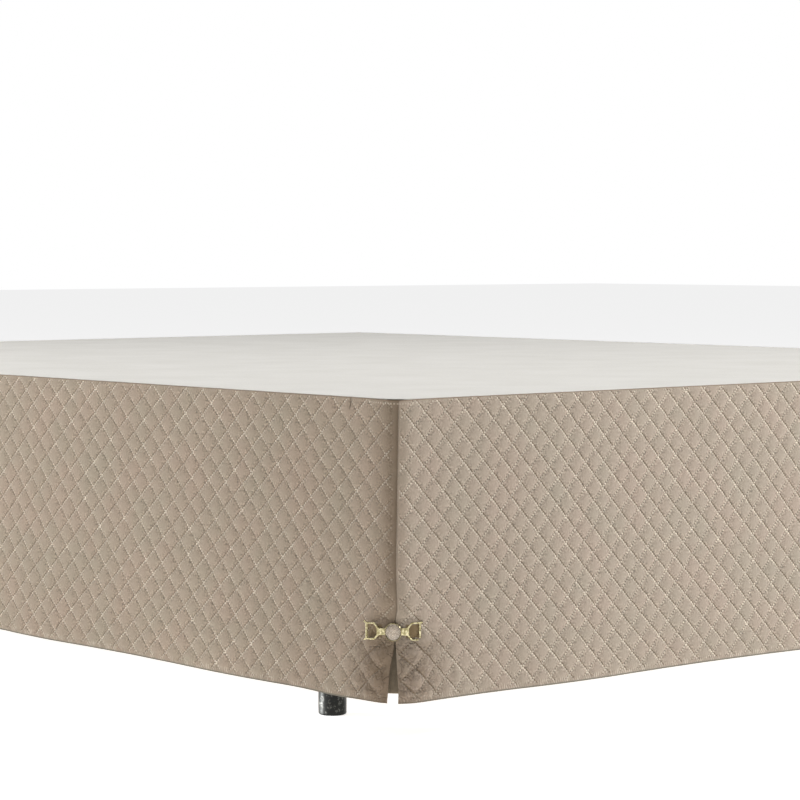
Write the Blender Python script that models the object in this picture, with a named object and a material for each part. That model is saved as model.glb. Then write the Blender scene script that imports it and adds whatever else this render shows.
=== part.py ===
"""A quilted bed skirt hung over an upholstered bed base.

Metres, +Z up, floor at z = 0. The width lies along X and the length along Y, with the foot end
at -Y. Three drops of quilted cloth hang from the edge of a plain deck cloth: one across the foot
end and one down each side. At each foot corner the drops end at a slit. The side panel tucks in
behind the foot panel there, a cast buckle draws the two together low down, the slit opens again
below it, and a plain flap hangs behind it. The head end is open.
"""

import math
from collections import namedtuple

import bmesh
import bpy
from mathutils import Matrix, Vector

MM = 0.001

# Bed base and feet
BASE_WIDTH = 1.580
BASE_LENGTH = 1.980
BASE_BOTTOM = 0.160
BASE_CORNER_RADIUS = 30 * MM
BASE_EDGE_RADIUS = 10 * MM
FOOT_RADIUS = 17.5 * MM
FOOT_EDGE = 2.5 * MM
FOOT_INSET_SIDE = 89 * MM
FOOT_INSET_MIDDLE = 240 * MM
FOOT_INSET_END = 226 * MM

# Deck cloth
DECK_TOP = 0.400
DECK_THICK = 1.2 * MM
DECK_OVERHANG = 4.0 * MM
DECK_CORNER_RADIUS = 20 * MM
DECK_HEAD_RADIUS = 4 * MM
SEAT_GAP = 0.3 * MM

# Drops
DROP = 0.350
HEM_HEIGHT = DECK_TOP - DROP
CLOTH = 3.0 * MM
FLARE = 4.0 * MM
HEM_RIPPLE = 0.8 * MM
HEM_RIPPLE_LENGTH = 0.42
CORNER_DIP = 1.5 * MM
CORNER_DIP_REACH = 25 * MM
DIP_BELOW = 50 * MM
HANG_GAP = DECK_OVERHANG + SEAT_GAP
COLUMN_PITCH = 75 * MM
CORNER_COLUMNS = 8
CORNER_ZONE = 90 * MM
WAVE_START = 100 * MM
WAVE_FULL = 280 * MM

# Soft puff of cloth between the slit and the buckle's end, below the buckle
PUFF = 2.2 * MM
PUFF_FROM_SLIT = 24 * MM
PUFF_HEIGHT = 44 * MM
PUFF_SPREAD_ALONG = 13 * MM
PUFF_SPREAD_UP = 14 * MM

# Corner flap behind the slit
FLAP_THICK = 1.7 * MM
FLAP_GAP = 0.45 * MM
FLAP_REACH = 92 * MM
FLAP_COLUMNS = 10
FLAP_BOTTOM = HEM_HEIGHT + 10 * MM

# Buckle: half lengths are measured along its bow
BUCKLE_HEIGHT = HEM_HEIGHT + 83 * MM
BUCKLE_BOW = 66 * MM
BUCKLE_THICK = 2.6 * MM
BUCKLE_GAP = 0.45 * MM
BUCKLE_TURN = 4.7
BEZEL_HALF_WIDTH = 9.3 * MM
BEZEL_HALF_HEIGHT = 10.5 * MM
BEZEL_RIM = 0.9 * MM
BEZEL_FLOOR = 1.1 * MM
NECK_HALF_HEIGHT = 3.4 * MM
FRAME_HALF_LENGTH = 35.0 * MM
BAR_OUT = 32.6 * MM
BAR_IN = 30.6 * MM
EDGE_BEVEL = 0.45 * MM
BOW_CUT_PITCH = 6 * MM
STONE_CROWN = 1.0 * MM
STONE_STEPS = 28

CornerSection = namedtuple(
    "CornerSection",
    "height foot_radius foot_turn foot_end side_radius side_turn side_end flap_radius",
)

# One row for each height above the hem: the radius (mm) and turn (degrees) with which each panel
# bends into the corner, where its end stops (mm from the square corner, along the panel), and the
# radius of the flap's outer face behind it.
CORNER_SECTIONS = (
    CornerSection(0.000, 40.0, 41.7, 13.4, 40.0, 29.7, 20.2, 60),
    CornerSection(0.014, 41.5, 41.2, 14.2, 41.5, 32.4, 19.3, 60),
    CornerSection(0.028, 43.0, 42.7, 13.8, 43.0, 33.7, 19.1, 60),
    CornerSection(0.046, 46.0, 44.2, 13.9, 46.0, 38.0, 17.7, 59),
    CornerSection(0.062, 48.0, 45.1, 14.0, 48.0, 42.2, 15.8, 58),
    CornerSection(0.071, 50.0, 45.7, 14.2, 50.0, 43.2, 15.8, 57),
    CornerSection(0.095, 50.0, 45.7, 14.2, 50.0, 41.5, 16.9, 56),
    CornerSection(0.105, 42.0, 39.0, 10.8, 40.0, 49.5, 12.3, 50),
    CornerSection(0.117, 34.0, 31.0, 7.0, 26.0, 58.0, 6.6, 34),
    CornerSection(0.132, 26.0, 22.0, 3.4, 16.0, 68.0, 4.3, 32),
    CornerSection(0.155, 20.0, 15.0, 1.4, 11.0, 75.0, 3.8, 32),
    CornerSection(0.200, 20.0, 15.0, 2.2, 11.0, 75.0, 3.8, 32),
    CornerSection(0.260, 20.0, 15.0, 3.3, 11.0, 75.0, 3.8, 32),
    CornerSection(0.315, 20.0, 15.0, 4.2, 11.0, 75.0, 3.8, 32),
    CornerSection(0.350, 20.0, 15.0, 4.8, 11.0, 75.0, 3.8, 32),
)

Wave = namedtuple("Wave", "amplitude length phase")

# Lazy waves of each drop, in mm outward at the hem, with their length in metres
FOOT_WAVES = (Wave(1.3, 0.61, 0.7), Wave(0.7, 0.29, 2.1))
SIDE_WAVES = (Wave(1.5, 0.68, 2.6), Wave(0.6, 0.33, 0.4))
WAVE_REACH = MM * sum(wave.amplitude for wave in FOOT_WAVES)

# The base's centre lies a little towards the head, so that the whole part is centred on Y = 0
BASE_CENTRE_Y = (HANG_GAP + CLOTH + FLARE + WAVE_REACH) / 2
HALF_WIDTH = BASE_WIDTH / 2
FOOT_SIDE_Y = BASE_CENTRE_Y - BASE_LENGTH / 2
HEAD_SIDE_Y = BASE_CENTRE_Y + BASE_LENGTH / 2
DECK_BOTTOM = DECK_TOP - DECK_THICK
BASE_TOP = DECK_BOTTOM - SEAT_GAP


def clear_scene():
    for thing in list(bpy.data.objects):
        bpy.data.objects.remove(thing, do_unlink=True)


def make_material(name, colour, roughness, metallic=0.0):
    material = bpy.data.materials.new(name)
    material.use_nodes = True
    shader = material.node_tree.nodes["Principled BSDF"]
    shader.inputs["Base Color"].default_value = (*colour, 1.0)
    shader.inputs["Roughness"].default_value = roughness
    shader.inputs["Metallic"].default_value = metallic
    return material


def add_object(name, mesh_builder, material, smooth_degrees=None):
    """Turns a bmesh into a named object, with round parts shaded smooth."""
    mesh = bpy.data.meshes.new(name)
    mesh_builder.to_mesh(mesh)
    mesh_builder.free()
    mesh.materials.append(material)
    if smooth_degrees is not None:
        mesh.shade_smooth()
        mesh.set_sharp_from_angle(angle=math.radians(smooth_degrees))
    thing = bpy.data.objects.new(name, mesh)
    bpy.context.scene.collection.objects.link(thing)
    return thing


def stack_rings(rings):
    """A closed body through rings of equal point counts, from the lowest to the highest."""
    builder = bmesh.new()
    loops = [[builder.verts.new(point) for point in ring] for ring in rings]
    count = len(loops[0])
    for lower, upper in zip(loops, loops[1:]):
        for i in range(count):
            j = (i + 1) % count
            builder.faces.new((lower[i], lower[j], upper[j], upper[i]))
    builder.faces.new(list(reversed(loops[0])))
    builder.faces.new(loops[-1])
    return builder


def rounded_outline(half_width, foot_y, head_y, foot_corner, head_corner, steps=6):
    """Counter-clockwise points of a rectangle whose foot and head corners are rounded."""
    points = []
    corners = ((1, foot_y, foot_corner), (1, head_y, head_corner))
    corners += ((-1, head_y, head_corner), (-1, foot_y, foot_corner))
    for number, (side, y, radius) in enumerate(corners):
        inward = radius if y == foot_y else -radius
        centre = Vector((side * (half_width - radius), y + inward))
        for step in range(steps + 1):
            angle = math.radians(90 * (number - 1 + step / steps))
            points.append(centre + radius * Vector((math.cos(angle), math.sin(angle))))
    return points


def ring_at(outline, z):
    return [(point.x, point.y, z) for point in outline]


def make_base(material):
    """The upholstered box: rounded upright corners, and soft top and bottom edges."""
    rings = []
    for at_top in (False, True):
        for step in range(4):
            angle = math.radians(30 * (3 - step if at_top else step))
            inset = BASE_EDGE_RADIUS * (1 - math.sin(angle))
            rise = BASE_EDGE_RADIUS * (1 - math.cos(angle))
            corner = BASE_CORNER_RADIUS - inset
            outline = rounded_outline(
                HALF_WIDTH - inset, FOOT_SIDE_Y + inset, HEAD_SIDE_Y - inset, corner, corner
            )
            rings.append(ring_at(outline, BASE_TOP - rise if at_top else BASE_BOTTOM + rise))
    return add_object("bed_base", stack_rings(rings), material, 40)


def make_deck(material):
    outline = rounded_outline(
        HALF_WIDTH + DECK_OVERHANG,
        FOOT_SIDE_Y - DECK_OVERHANG,
        HEAD_SIDE_Y,
        DECK_CORNER_RADIUS,
        DECK_HEAD_RADIUS,
    )
    rings = [ring_at(outline, DECK_BOTTOM), ring_at(outline, DECK_TOP)]
    return add_object("deck_cloth", stack_rings(rings), material, 40)


def make_feet(material, steps=24):
    along = BASE_LENGTH / 2 - FOOT_INSET_END
    top = BASE_BOTTOM - SEAT_GAP
    profile = ((FOOT_RADIUS - FOOT_EDGE, 0.0), (FOOT_RADIUS, FOOT_EDGE), (FOOT_RADIUS, top))
    number = 0
    for side in (-1, 1):
        for y in (-along, 0.0, along):
            number += 1
            inset = FOOT_INSET_SIDE if y else FOOT_INSET_MIDDLE
            x = side * (HALF_WIDTH - inset)
            rings = []
            for radius, z in profile:
                ring = []
                for step in range(steps):
                    angle = 2 * math.pi * step / steps
                    ring.append((radius * math.cos(angle), radius * math.sin(angle), z))
                rings.append(ring)
            foot = add_object(f"foot_{number}", stack_rings(rings), material, 30)
            foot.location = (x, BASE_CENTRE_Y + y, 0.0)


def smooth_step(start, end, value):
    share = min(1.0, max(0.0, (value - start) / (end - start)))
    return share * share * (3 - 2 * share)


def stand_off(height):
    """How far a drop's middle surface stands from the base, for a height above the hem."""
    return HANG_GAP + CLOTH / 2 + FLARE * (1 - height / DROP)


def wave_out(waves, along, height, length, ends):
    """Outward wave of a drop, which dies out at its sewn top and near its buckled ends."""
    fade = smooth_step(WAVE_START, WAVE_FULL, along)
    if ends == 2:
        fade *= smooth_step(WAVE_START, WAVE_FULL, length - along)
    out = 0.0
    for wave in waves:
        turn = 2 * math.pi * along / wave.length + wave.phase
        out += wave.amplitude * MM * (1 + math.sin(turn)) / 2
    return out * fade * (1 - height / DROP)


def puff_out(from_slit, height):
    along = (from_slit - PUFF_FROM_SLIT) / PUFF_SPREAD_ALONG
    up = (height - PUFF_HEIGHT) / PUFF_SPREAD_UP
    return PUFF * math.exp(-along * along - up * up)


def corner_bend(radius, turn, end):
    """The end of a panel as it bends into the corner, from its end back to its straight part.

    Gives, for each column, the distance along the panel from the square corner, the distance
    inward from the panel's own plane, the angle turned there, and the distance from the slit.
    """
    columns = []
    full = math.radians(turn)
    straight_start = end + radius * math.sin(full)
    for step in range(CORNER_COLUMNS + 1):
        angle = full * (1 - step / CORNER_COLUMNS)
        along = straight_start - radius * math.sin(angle)
        inward = radius * (1 - math.cos(angle))
        columns.append((along, inward, angle, radius * (full - angle)))
    columns.append((CORNER_ZONE, 0.0, 0.0, radius * full + CORNER_ZONE - straight_start))
    return columns


def spread(first, last, pitch):
    """Evenly spaced places from first to last, about a pitch apart, without the first."""
    count = max(1, round((last - first) / pitch))
    return [first + (last - first) * (i + 1) / count for i in range(count)]


def drop_point(corner, along, inward, is_foot):
    """A point of a drop in plan, from distances along it and inward, at one square corner."""
    mirror = -corner.x / abs(corner.x)
    if is_foot:
        return Vector((corner.x + mirror * along, corner.y + inward))
    return Vector((corner.x + mirror * inward, corner.y + along))


def drop_normal(angle, is_foot, mirror):
    """The outward direction of a drop in plan, where it has turned by an angle."""
    if is_foot:
        return Vector((-mirror * math.sin(angle), -math.cos(angle)))
    return Vector((-mirror * math.cos(angle), -math.sin(angle)))


def corner_at(side, height):
    """The square corner where the middle surfaces of two drops would meet."""
    off = stand_off(height)
    return Vector((side * (HALF_WIDTH + off), FOOT_SIDE_Y - off))


def height_at(along, from_corner, height):
    """Height above the floor: the hem is a little uneven, and the top dips near a corner."""
    ripple = HEM_RIPPLE * math.sin(2 * math.pi * along / HEM_RIPPLE_LENGTH)
    dip = CORNER_DIP * math.exp(-from_corner / CORNER_DIP_REACH)
    dip *= smooth_step(DROP - DIP_BELOW, DROP, height)
    return HEM_HEIGHT + height + ripple * (1 - height / DROP) - dip


def side_row(side, section):
    """One row of a side panel: a pair of outer and inner points for each column."""
    corner = corner_at(side, section.height)
    bend = corner_bend(
        section.side_radius * MM, section.side_turn, section.side_end * MM
    )
    length = HEAD_SIDE_Y - corner.y
    columns = list(bend)
    for along in spread(CORNER_ZONE, length, COLUMN_PITCH):
        columns.append((along, 0.0, 0.0, along))
    row = []
    for along, inward, angle, from_slit in columns:
        out = wave_out(SIDE_WAVES, along, section.height, length, 1)
        out += puff_out(from_slit, section.height)
        normal = drop_normal(angle, False, -side)
        middle = drop_point(corner, along, inward, False) + out * normal
        z = height_at(along, along, section.height)
        row.append(sheet_pair(middle, normal, z, CLOTH))
    return row


def foot_row(section):
    """One row of the foot panel, from its left end to its right end."""
    left, right = corner_at(-1, section.height), corner_at(1, section.height)
    bend = corner_bend(
        section.foot_radius * MM, section.foot_turn, section.foot_end * MM
    )
    length = right.x - left.x
    row = []
    for along, inward, angle, from_slit in bend:
        row.append(foot_pair(left, along, inward, angle, from_slit, section.height, length))
    for along in spread(CORNER_ZONE, length - CORNER_ZONE, COLUMN_PITCH)[:-1]:
        row.append(foot_pair(left, along, 0.0, 0.0, along, section.height, length))
    for along, inward, angle, from_slit in reversed(bend):
        row.append(foot_pair(right, along, inward, angle, from_slit, section.height, length))
    return row


def foot_pair(corner, along, inward, angle, from_slit, height, length):
    from_left = along if corner.x < 0 else length - along
    out = wave_out(FOOT_WAVES, from_left, height, length, 2)
    out += puff_out(from_slit, height)
    mirror = -corner.x / abs(corner.x)
    normal = drop_normal(angle, True, mirror)
    middle = drop_point(corner, along, inward, True) + out * normal
    return sheet_pair(middle, normal, height_at(from_left, along, height), CLOTH)


def sheet_pair(middle, normal, z, thickness):
    outer = middle + normal * thickness / 2
    inner = middle - normal * thickness / 2
    return (outer.x, outer.y, z), (inner.x, inner.y, z)


def sheet_body(rows, flip):
    """A closed thin sheet from rows of outer and inner points, hem first."""
    builder = bmesh.new()
    outer = [[builder.verts.new(pair[0]) for pair in row] for row in rows]
    inner = [[builder.verts.new(pair[1]) for pair in row] for row in rows]
    last_row, last_column = len(rows) - 1, len(rows[0]) - 1
    for r in range(last_row):
        for c in range(last_column):
            builder.faces.new(
                (outer[r][c], outer[r][c + 1], outer[r + 1][c + 1], outer[r + 1][c])
            )
            builder.faces.new(
                (inner[r][c], inner[r + 1][c], inner[r + 1][c + 1], inner[r][c + 1])
            )
    for c in range(last_column):
        builder.faces.new((outer[0][c], inner[0][c], inner[0][c + 1], outer[0][c + 1]))
        builder.faces.new(
            (outer[last_row][c], outer[last_row][c + 1], inner[last_row][c + 1], inner[last_row][c])
        )
    for r in range(last_row):
        builder.faces.new((outer[r][0], outer[r + 1][0], inner[r + 1][0], inner[r][0]))
        builder.faces.new(
            (
                outer[r][last_column],
                inner[r][last_column],
                inner[r + 1][last_column],
                outer[r + 1][last_column],
            )
        )
    if flip:
        bmesh.ops.reverse_faces(builder, faces=builder.faces)
    return builder


def make_drops(material):
    add_object(
        "foot_panel", sheet_body([foot_row(s) for s in CORNER_SECTIONS], False), material, 50
    )
    for name, side in (("side_panel_left", -1), ("side_panel_right", 1)):
        rows = [side_row(side, section) for section in CORNER_SECTIONS]
        add_object(name, sheet_body(rows, side < 0), material, 50)


def flap_row(side, height, z, outer_radius):
    """One row of a corner flap: along the side panel, round the corner, along the foot panel."""
    corner = corner_at(side, height)
    mirror = -side
    plane = CLOTH / 2 + FLAP_GAP + FLAP_THICK / 2
    radius = outer_radius - FLAP_THICK / 2
    row = []

    def add(along_u, along_v, angle):
        normal = Vector((-mirror * math.cos(angle), -math.sin(angle)))
        middle = Vector((corner.x + mirror * along_u, corner.y + along_v))
        row.append(sheet_pair(middle, normal, z, FLAP_THICK))

    add(plane, FLAP_REACH, 0.0)
    for step in range(FLAP_COLUMNS + 1):
        angle = math.radians(90 * step / FLAP_COLUMNS)
        centre = plane + radius
        add(centre - radius * math.cos(angle), centre - radius * math.sin(angle), angle)
    add(FLAP_REACH, plane, math.radians(90))
    return row


def make_flaps(material):
    top = DECK_BOTTOM - SEAT_GAP
    for name, side in (("corner_flap_left", -1), ("corner_flap_right", 1)):
        rows = []
        for section in CORNER_SECTIONS:
            z = HEM_HEIGHT + section.height
            if z < FLAP_BOTTOM:
                z = FLAP_BOTTOM
            rows.append(flap_row(side, section.height, min(z, top), section.flap_radius * MM))
        add_object(name, sheet_body(rows, side > 0), material, 50)


def bow_place(side):
    """The frame of a buckle: X along it, Y up, Z out of the corner, origin on its back's middle."""
    section = next(s for s in CORNER_SECTIONS if HEM_HEIGHT + s.height >= BUCKLE_HEIGHT)
    corner = corner_at(side, BUCKLE_HEIGHT - HEM_HEIGHT)
    radius = section.foot_radius * MM
    out = drop_normal(math.radians(45 + BUCKLE_TURN), True, -side).to_3d()
    arc_centre = Vector((corner.x - side * radius, corner.y + radius, BUCKLE_HEIGHT))
    origin = arc_centre + out * (radius + CLOTH / 2 + BUCKLE_GAP)
    up = Vector((0, 0, 1))
    along = up.cross(out)
    place = Matrix((along, up, out)).transposed().to_4x4()
    place.translation = origin
    return place


def bow(builder, place):
    """Cuts a flat piece across, bends it round the corner, and puts it in its place."""
    cuts = math.floor(FRAME_HALF_LENGTH / BOW_CUT_PITCH)
    for cut in range(-cuts, cuts):
        bmesh.ops.bisect_plane(
            builder,
            geom=builder.verts[:] + builder.edges[:] + builder.faces[:],
            plane_co=((cut + 0.5) * BOW_CUT_PITCH, 0, 0),
            plane_no=(1, 0, 0),
            dist=0.02 * MM,
        )
    for vertex in builder.verts:
        angle = vertex.co.x / BUCKLE_BOW
        reach = BUCKLE_BOW + vertex.co.z
        bent = Vector((reach * math.sin(angle), vertex.co.y, reach * math.cos(angle) - BUCKLE_BOW))
        vertex.co = place @ bent


def oval(half_width, half_height, steps):
    points = []
    for step in range(steps):
        angle = 2 * math.pi * step / steps
        points.append((half_width * math.cos(angle), half_height * math.sin(angle)))
    return points


def quarter_outline():
    """The buckle's outline from the top of its bezel to the middle of its end bar, in mm."""
    points = []
    wide, tall = BEZEL_HALF_WIDTH / MM, BEZEL_HALF_HEIGHT / MM
    neck = NECK_HALF_HEIGHT / MM
    meet = math.acos(neck / tall)
    for step in range(7):
        angle = meet * step / 6
        points.append((wide * math.sin(angle), tall * math.cos(angle)))
    points += [(12.5, neck - 0.3), (15.6, 4.4), (18.3, 7.2), (20.8, 9.2), (23.5, 9.8)]
    points += [(31.8, 10.1), (33.8, 10.9), (FRAME_HALF_LENGTH / MM, 10.6)]
    points += [(34.6, 9.4), (33.6, 8.9), (BAR_OUT / MM, 8.0)]
    points += [(BAR_OUT / MM, 2.2), (33.5, 1.5), (33.9, 0.0)]
    return points


def window_outline():
    """The open window of the buckle's end frame, counter-clockwise, in mm."""
    bar = BAR_IN / MM
    upper = [(bar, 1.7), (bar, 7.9), (24.0, 7.9), (21.9, 7.1), (20.0, 5.2), (18.8, 2.8)]
    lower = [(x, -y) for x, y in reversed(upper)]
    return [(29.9, 0.0), *upper, (18.4, 0.0), *lower]


def prism(outline, low, high):
    """A closed body of a counter-clockwise outline, from one height to another."""
    return stack_rings([[(x, y, z) for x, y in outline] for z in (low, high)])


def as_cutter(name, builder):
    cutter = add_object(name, builder, bpy.data.materials[0])
    cutter.hide_render = True
    cutter.display_type = "WIRE"
    return cutter


def apply_modifiers(thing):
    """Replaces an object's mesh by what its modifiers make of it."""
    graph = bpy.context.evaluated_depsgraph_get()
    made = bpy.data.meshes.new_from_object(thing.evaluated_get(graph))
    old = thing.data
    thing.modifiers.clear()
    thing.data = made
    bpy.data.meshes.remove(old)


def buckle_blank():
    """The buckle before it is bowed: a plate with two windows and a sunk bezel."""
    quarter = quarter_outline()
    right_half = quarter + [(x, -y) for x, y in reversed(quarter[:-1])]
    left_half = [(-x, -y) for x, y in right_half[1:-1]]
    outline = [(x * MM, y * MM) for x, y in reversed(right_half + left_half)]
    plate = add_object("buckle_blank", prism(outline, 0.0, BUCKLE_THICK), bpy.data.materials[0])
    window = [(x * MM, y * MM) for x, y in window_outline()]
    mirrored = [(-x, y) for x, y in reversed(window)]
    recess = oval(BEZEL_HALF_WIDTH - BEZEL_RIM, BEZEL_HALF_HEIGHT - BEZEL_RIM, STONE_STEPS)
    clear = 2 * BUCKLE_THICK
    cuts = (
        ("window_cut_right", window, -clear),
        ("window_cut_left", mirrored, -clear),
        ("bezel_cut", recess, BEZEL_FLOOR),
    )
    cutters = []
    for name, shape, low in cuts:
        cutter = as_cutter(name, prism(shape, low, clear))
        cut = plate.modifiers.new(name, "BOOLEAN")
        cut.operation = "DIFFERENCE"
        cut.solver = "EXACT"
        cut.object = cutter
        cutters.append(cutter)
    edges = plate.modifiers.new("soft_edges", "BEVEL")
    edges.width = EDGE_BEVEL
    edges.segments = 1
    edges.limit_method = "ANGLE"
    edges.angle_limit = math.radians(60)
    apply_modifiers(plate)
    for cutter in cutters:
        bpy.data.objects.remove(cutter, do_unlink=True)
    return plate


def make_buckles(metal, stone):
    blank = buckle_blank()
    for name, side in (("left", -1), ("right", 1)):
        place = bow_place(side)
        builder = bmesh.new()
        builder.from_mesh(blank.data)
        bow(builder, place)
        add_object(f"buckle_{name}", builder, metal, 40)
        inset = BEZEL_RIM + SEAT_GAP
        wide, tall = BEZEL_HALF_WIDTH - inset, BEZEL_HALF_HEIGHT - inset
        low = BEZEL_FLOOR + SEAT_GAP
        levels = ((1.0, low), (1.0, BUCKLE_THICK), (0.8, BUCKLE_THICK + 0.7 * STONE_CROWN))
        levels += ((0.45, BUCKLE_THICK + STONE_CROWN),)
        rings = []
        for share, z in levels:
            outline = oval(wide * share, tall * share, STONE_STEPS)
            rings.append([(x, y, z) for x, y in outline])
        plate = stack_rings(rings)
        bow(plate, place)
        add_object(f"stone_plate_{name}", plate, stone, 40)
    bpy.data.objects.remove(blank, do_unlink=True)


def main():
    clear_scene()
    quilted = make_material("quilted_cloth", (0.42, 0.35, 0.27), 0.85)
    flap_cloth = make_material("flap_cloth", (0.27, 0.23, 0.16), 0.9)
    deck_cloth = make_material("deck_cloth", (0.72, 0.68, 0.61), 0.95)
    base_cover = make_material("base_cover", (0.55, 0.5, 0.43), 0.9)
    foot_metal = make_material("foot_metal", (0.03, 0.03, 0.035), 0.25, 1.0)
    gold = make_material("gold", (0.8, 0.68, 0.38), 0.25, 1.0)
    stone = make_material("stone", (0.62, 0.58, 0.6), 0.15)
    make_base(base_cover)
    make_feet(foot_metal)
    make_deck(deck_cloth)
    make_drops(quilted)
    make_flaps(flap_cloth)
    make_buckles(gold, stone)


main()
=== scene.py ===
"""The looks of the quilted bed skirt on its bed base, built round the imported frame.

Metres, +Z up, with the foot end at -Y. Places on a drop are given by u, the distance along the
cloth from the square corner at its slit, and h, the height above its hem. The tables of the corner
and of the folds are in millimetres.
"""

import math
from collections import namedtuple
from contextlib import contextmanager

import bmesh
import bpy
import numpy as np
from mathutils import Matrix, Vector


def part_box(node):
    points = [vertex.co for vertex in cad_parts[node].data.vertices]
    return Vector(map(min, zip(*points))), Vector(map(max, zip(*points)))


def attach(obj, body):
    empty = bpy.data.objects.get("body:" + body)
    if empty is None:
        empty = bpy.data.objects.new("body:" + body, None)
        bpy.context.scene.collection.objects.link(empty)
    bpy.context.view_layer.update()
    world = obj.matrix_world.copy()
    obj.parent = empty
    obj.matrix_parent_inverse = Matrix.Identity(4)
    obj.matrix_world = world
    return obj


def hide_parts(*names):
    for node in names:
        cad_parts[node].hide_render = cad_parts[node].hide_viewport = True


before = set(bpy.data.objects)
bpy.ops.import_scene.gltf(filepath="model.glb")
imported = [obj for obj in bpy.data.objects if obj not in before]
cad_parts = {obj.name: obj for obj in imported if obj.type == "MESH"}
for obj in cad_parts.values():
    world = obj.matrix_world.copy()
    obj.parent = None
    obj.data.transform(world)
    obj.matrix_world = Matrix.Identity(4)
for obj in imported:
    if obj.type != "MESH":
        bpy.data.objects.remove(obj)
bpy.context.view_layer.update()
deck_low, deck_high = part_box("deck_cloth")
base_low, base_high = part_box("bed_base")

MM = 0.001

# Sizes worked out from the frame
HALF_WIDTH = base_high.x
FOOT_SIDE_Y = base_low.y
HEAD_SIDE_Y = base_high.y
DECK_TOP = deck_high.z
DECK_THICK = deck_high.z - deck_low.z
DECK_OVERHANG = deck_high.x - base_high.x
SIDES = (("left", -1), ("right", 1))

# The hang of the drops, as in the solids
DROP = 350 * MM
HEM_HEIGHT = DECK_TOP - DROP
CLOTH = 3.0 * MM
FLARE = 4.0 * MM
HANG_GAP = DECK_OVERHANG + 0.3 * MM
HEM_RIPPLE = 0.8 * MM
HEM_RIPPLE_LENGTH = 0.42
SIDE_SAG = 1.8 * MM
SAG_PLACE = 110 * MM
SAG_SPREAD = 48 * MM
CORNER_DIP = 1.5 * MM
CORNER_DIP_REACH = 25 * MM
DIP_BELOW = 50 * MM
WAVE_START = 100 * MM
WAVE_FULL = 280 * MM
PUFF = 2.2 * MM
PUFF_FROM_SLIT = 24 * MM
PUFF_HEIGHT = 44 * MM
PUFF_SPREAD_ALONG = 13 * MM
PUFF_SPREAD_UP = 14 * MM

# For each height above the hem: the radius and turn (degrees) with which each panel bends into the
# corner, where its end stops, and the radius of the flap's outer face behind it
CORNER_FIELDS = "height foot_radius foot_turn foot_end side_radius side_turn side_end flap_radius"
CORNER_ROWS = (
    (0, 40.0, 41.7, 12.5, 40.0, 29.7, 21.2, 60),
    (14, 41.5, 41.2, 13.3, 41.5, 32.4, 20.7, 60),
    (28, 43.0, 42.7, 12.9, 43.0, 33.7, 20.6, 60),
    (46, 46.0, 44.2, 12.9, 46.0, 38.0, 19.4, 59),
    (62, 48.0, 45.1, 12.9, 48.0, 42.2, 17.5, 58),
    (71, 50.0, 45.7, 12.9, 50.0, 43.2, 17.4, 57),
    (95, 50.0, 45.7, 13.6, 50.0, 41.5, 17.5, 56),
    (105, 42.0, 39.0, 10.8, 40.0, 49.5, 12.3, 50),
    (117, 34.0, 31.0, 7.0, 26.0, 58.0, 6.6, 34),
    (132, 26.0, 22.0, 3.4, 16.0, 68.0, 4.3, 32),
    (155, 20.0, 15.0, 1.4, 11.0, 75.0, 3.8, 32),
    (200, 20.0, 15.0, 2.2, 11.0, 75.0, 3.8, 32),
    (260, 20.0, 15.0, 3.3, 11.0, 75.0, 3.8, 32),
    (315, 20.0, 15.0, 4.2, 11.0, 75.0, 3.8, 32),
    (350, 20.0, 15.0, 4.8, 11.0, 75.0, 3.8, 32),
)
CORNER = dict(zip(CORNER_FIELDS.split(), np.array(CORNER_ROWS).T))

# How far the buckle draws each end of cloth past its solid, so that the slit shuts above it
PULL = {"foot": 0.9 * MM, "side": 1.3 * MM}
PULL_HEIGHT = 97 * MM
PULL_SPREAD = 20 * MM

# Lazy waves: amplitude in millimetres, length in metres, phase
FOOT_WAVES = ((1.3, 0.61, 0.7), (0.7, 0.29, 2.1))
SIDE_WAVES = ((1.5, 0.68, 2.6), (0.6, 0.33, 0.4))

# Where quilting lines creep off even rows: each span runs between two places along the cloth and
# between two heights, in millimetres
ALL = (-2, -1)
NEAR, FAR = (0, 350), (300, 1000)
LOW, HIGH, RISE = (0, 200), (150, 350), (0, 350)
CREEP_SPANS = ((ALL, ALL), (ALL, LOW), (ALL, HIGH), (NEAR, ALL), (NEAR, RISE), (FAR, ALL), (FAR, RISE))

# Quilting: the width and height of a diamond, corner to corner, where its lines start, and how far
# they creep over each span, in shares of a repeat
Quilt = namedtuple("Quilt", "wide tall falling rising falling_creep rising_creep")
FOOT_QUILT = Quilt(
    wide=30.9 * MM,
    tall=31.4 * MM,
    falling=0.40,
    rising=0.50,
    falling_creep=(-0.14, -0.26, 0.05, -0.09, 0.19, 0.61, 0.54),
    rising_creep=(-0.16, 0.18, -0.26, 0.20, 0.19, -0.53, 0.37),
)
SIDE_QUILT = Quilt(
    wide=34.4 * MM,
    tall=31.4 * MM,
    falling=0.40,
    rising=0.90,
    falling_creep=(-0.26, -0.35, -0.21, 0.14, 0.0, 0.72, 0.83),
    rising_creep=(-0.55, 0.28, 0.0, 0.13, 0.60, -0.51, 0.36),
)

# The grid of a drop: cells to a diamond, and how the cloth stands up between its quilting lines
CELLS = 10
GRID_EASE = 60 * MM
VALLEY = 0.55 * MM
CREST = 3.1 * MM
BACK = 1.2 * MM
DEEPEST_BACK = -0.6 * MM
BACK_CELLS = 5
KEPT_CORNER = 70 * MM
PLUMPNESS = 0.85
GATHER_ALONG = (64 * MM, 24 * MM)
GATHER_UP = (92 * MM, 66 * MM)

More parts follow.
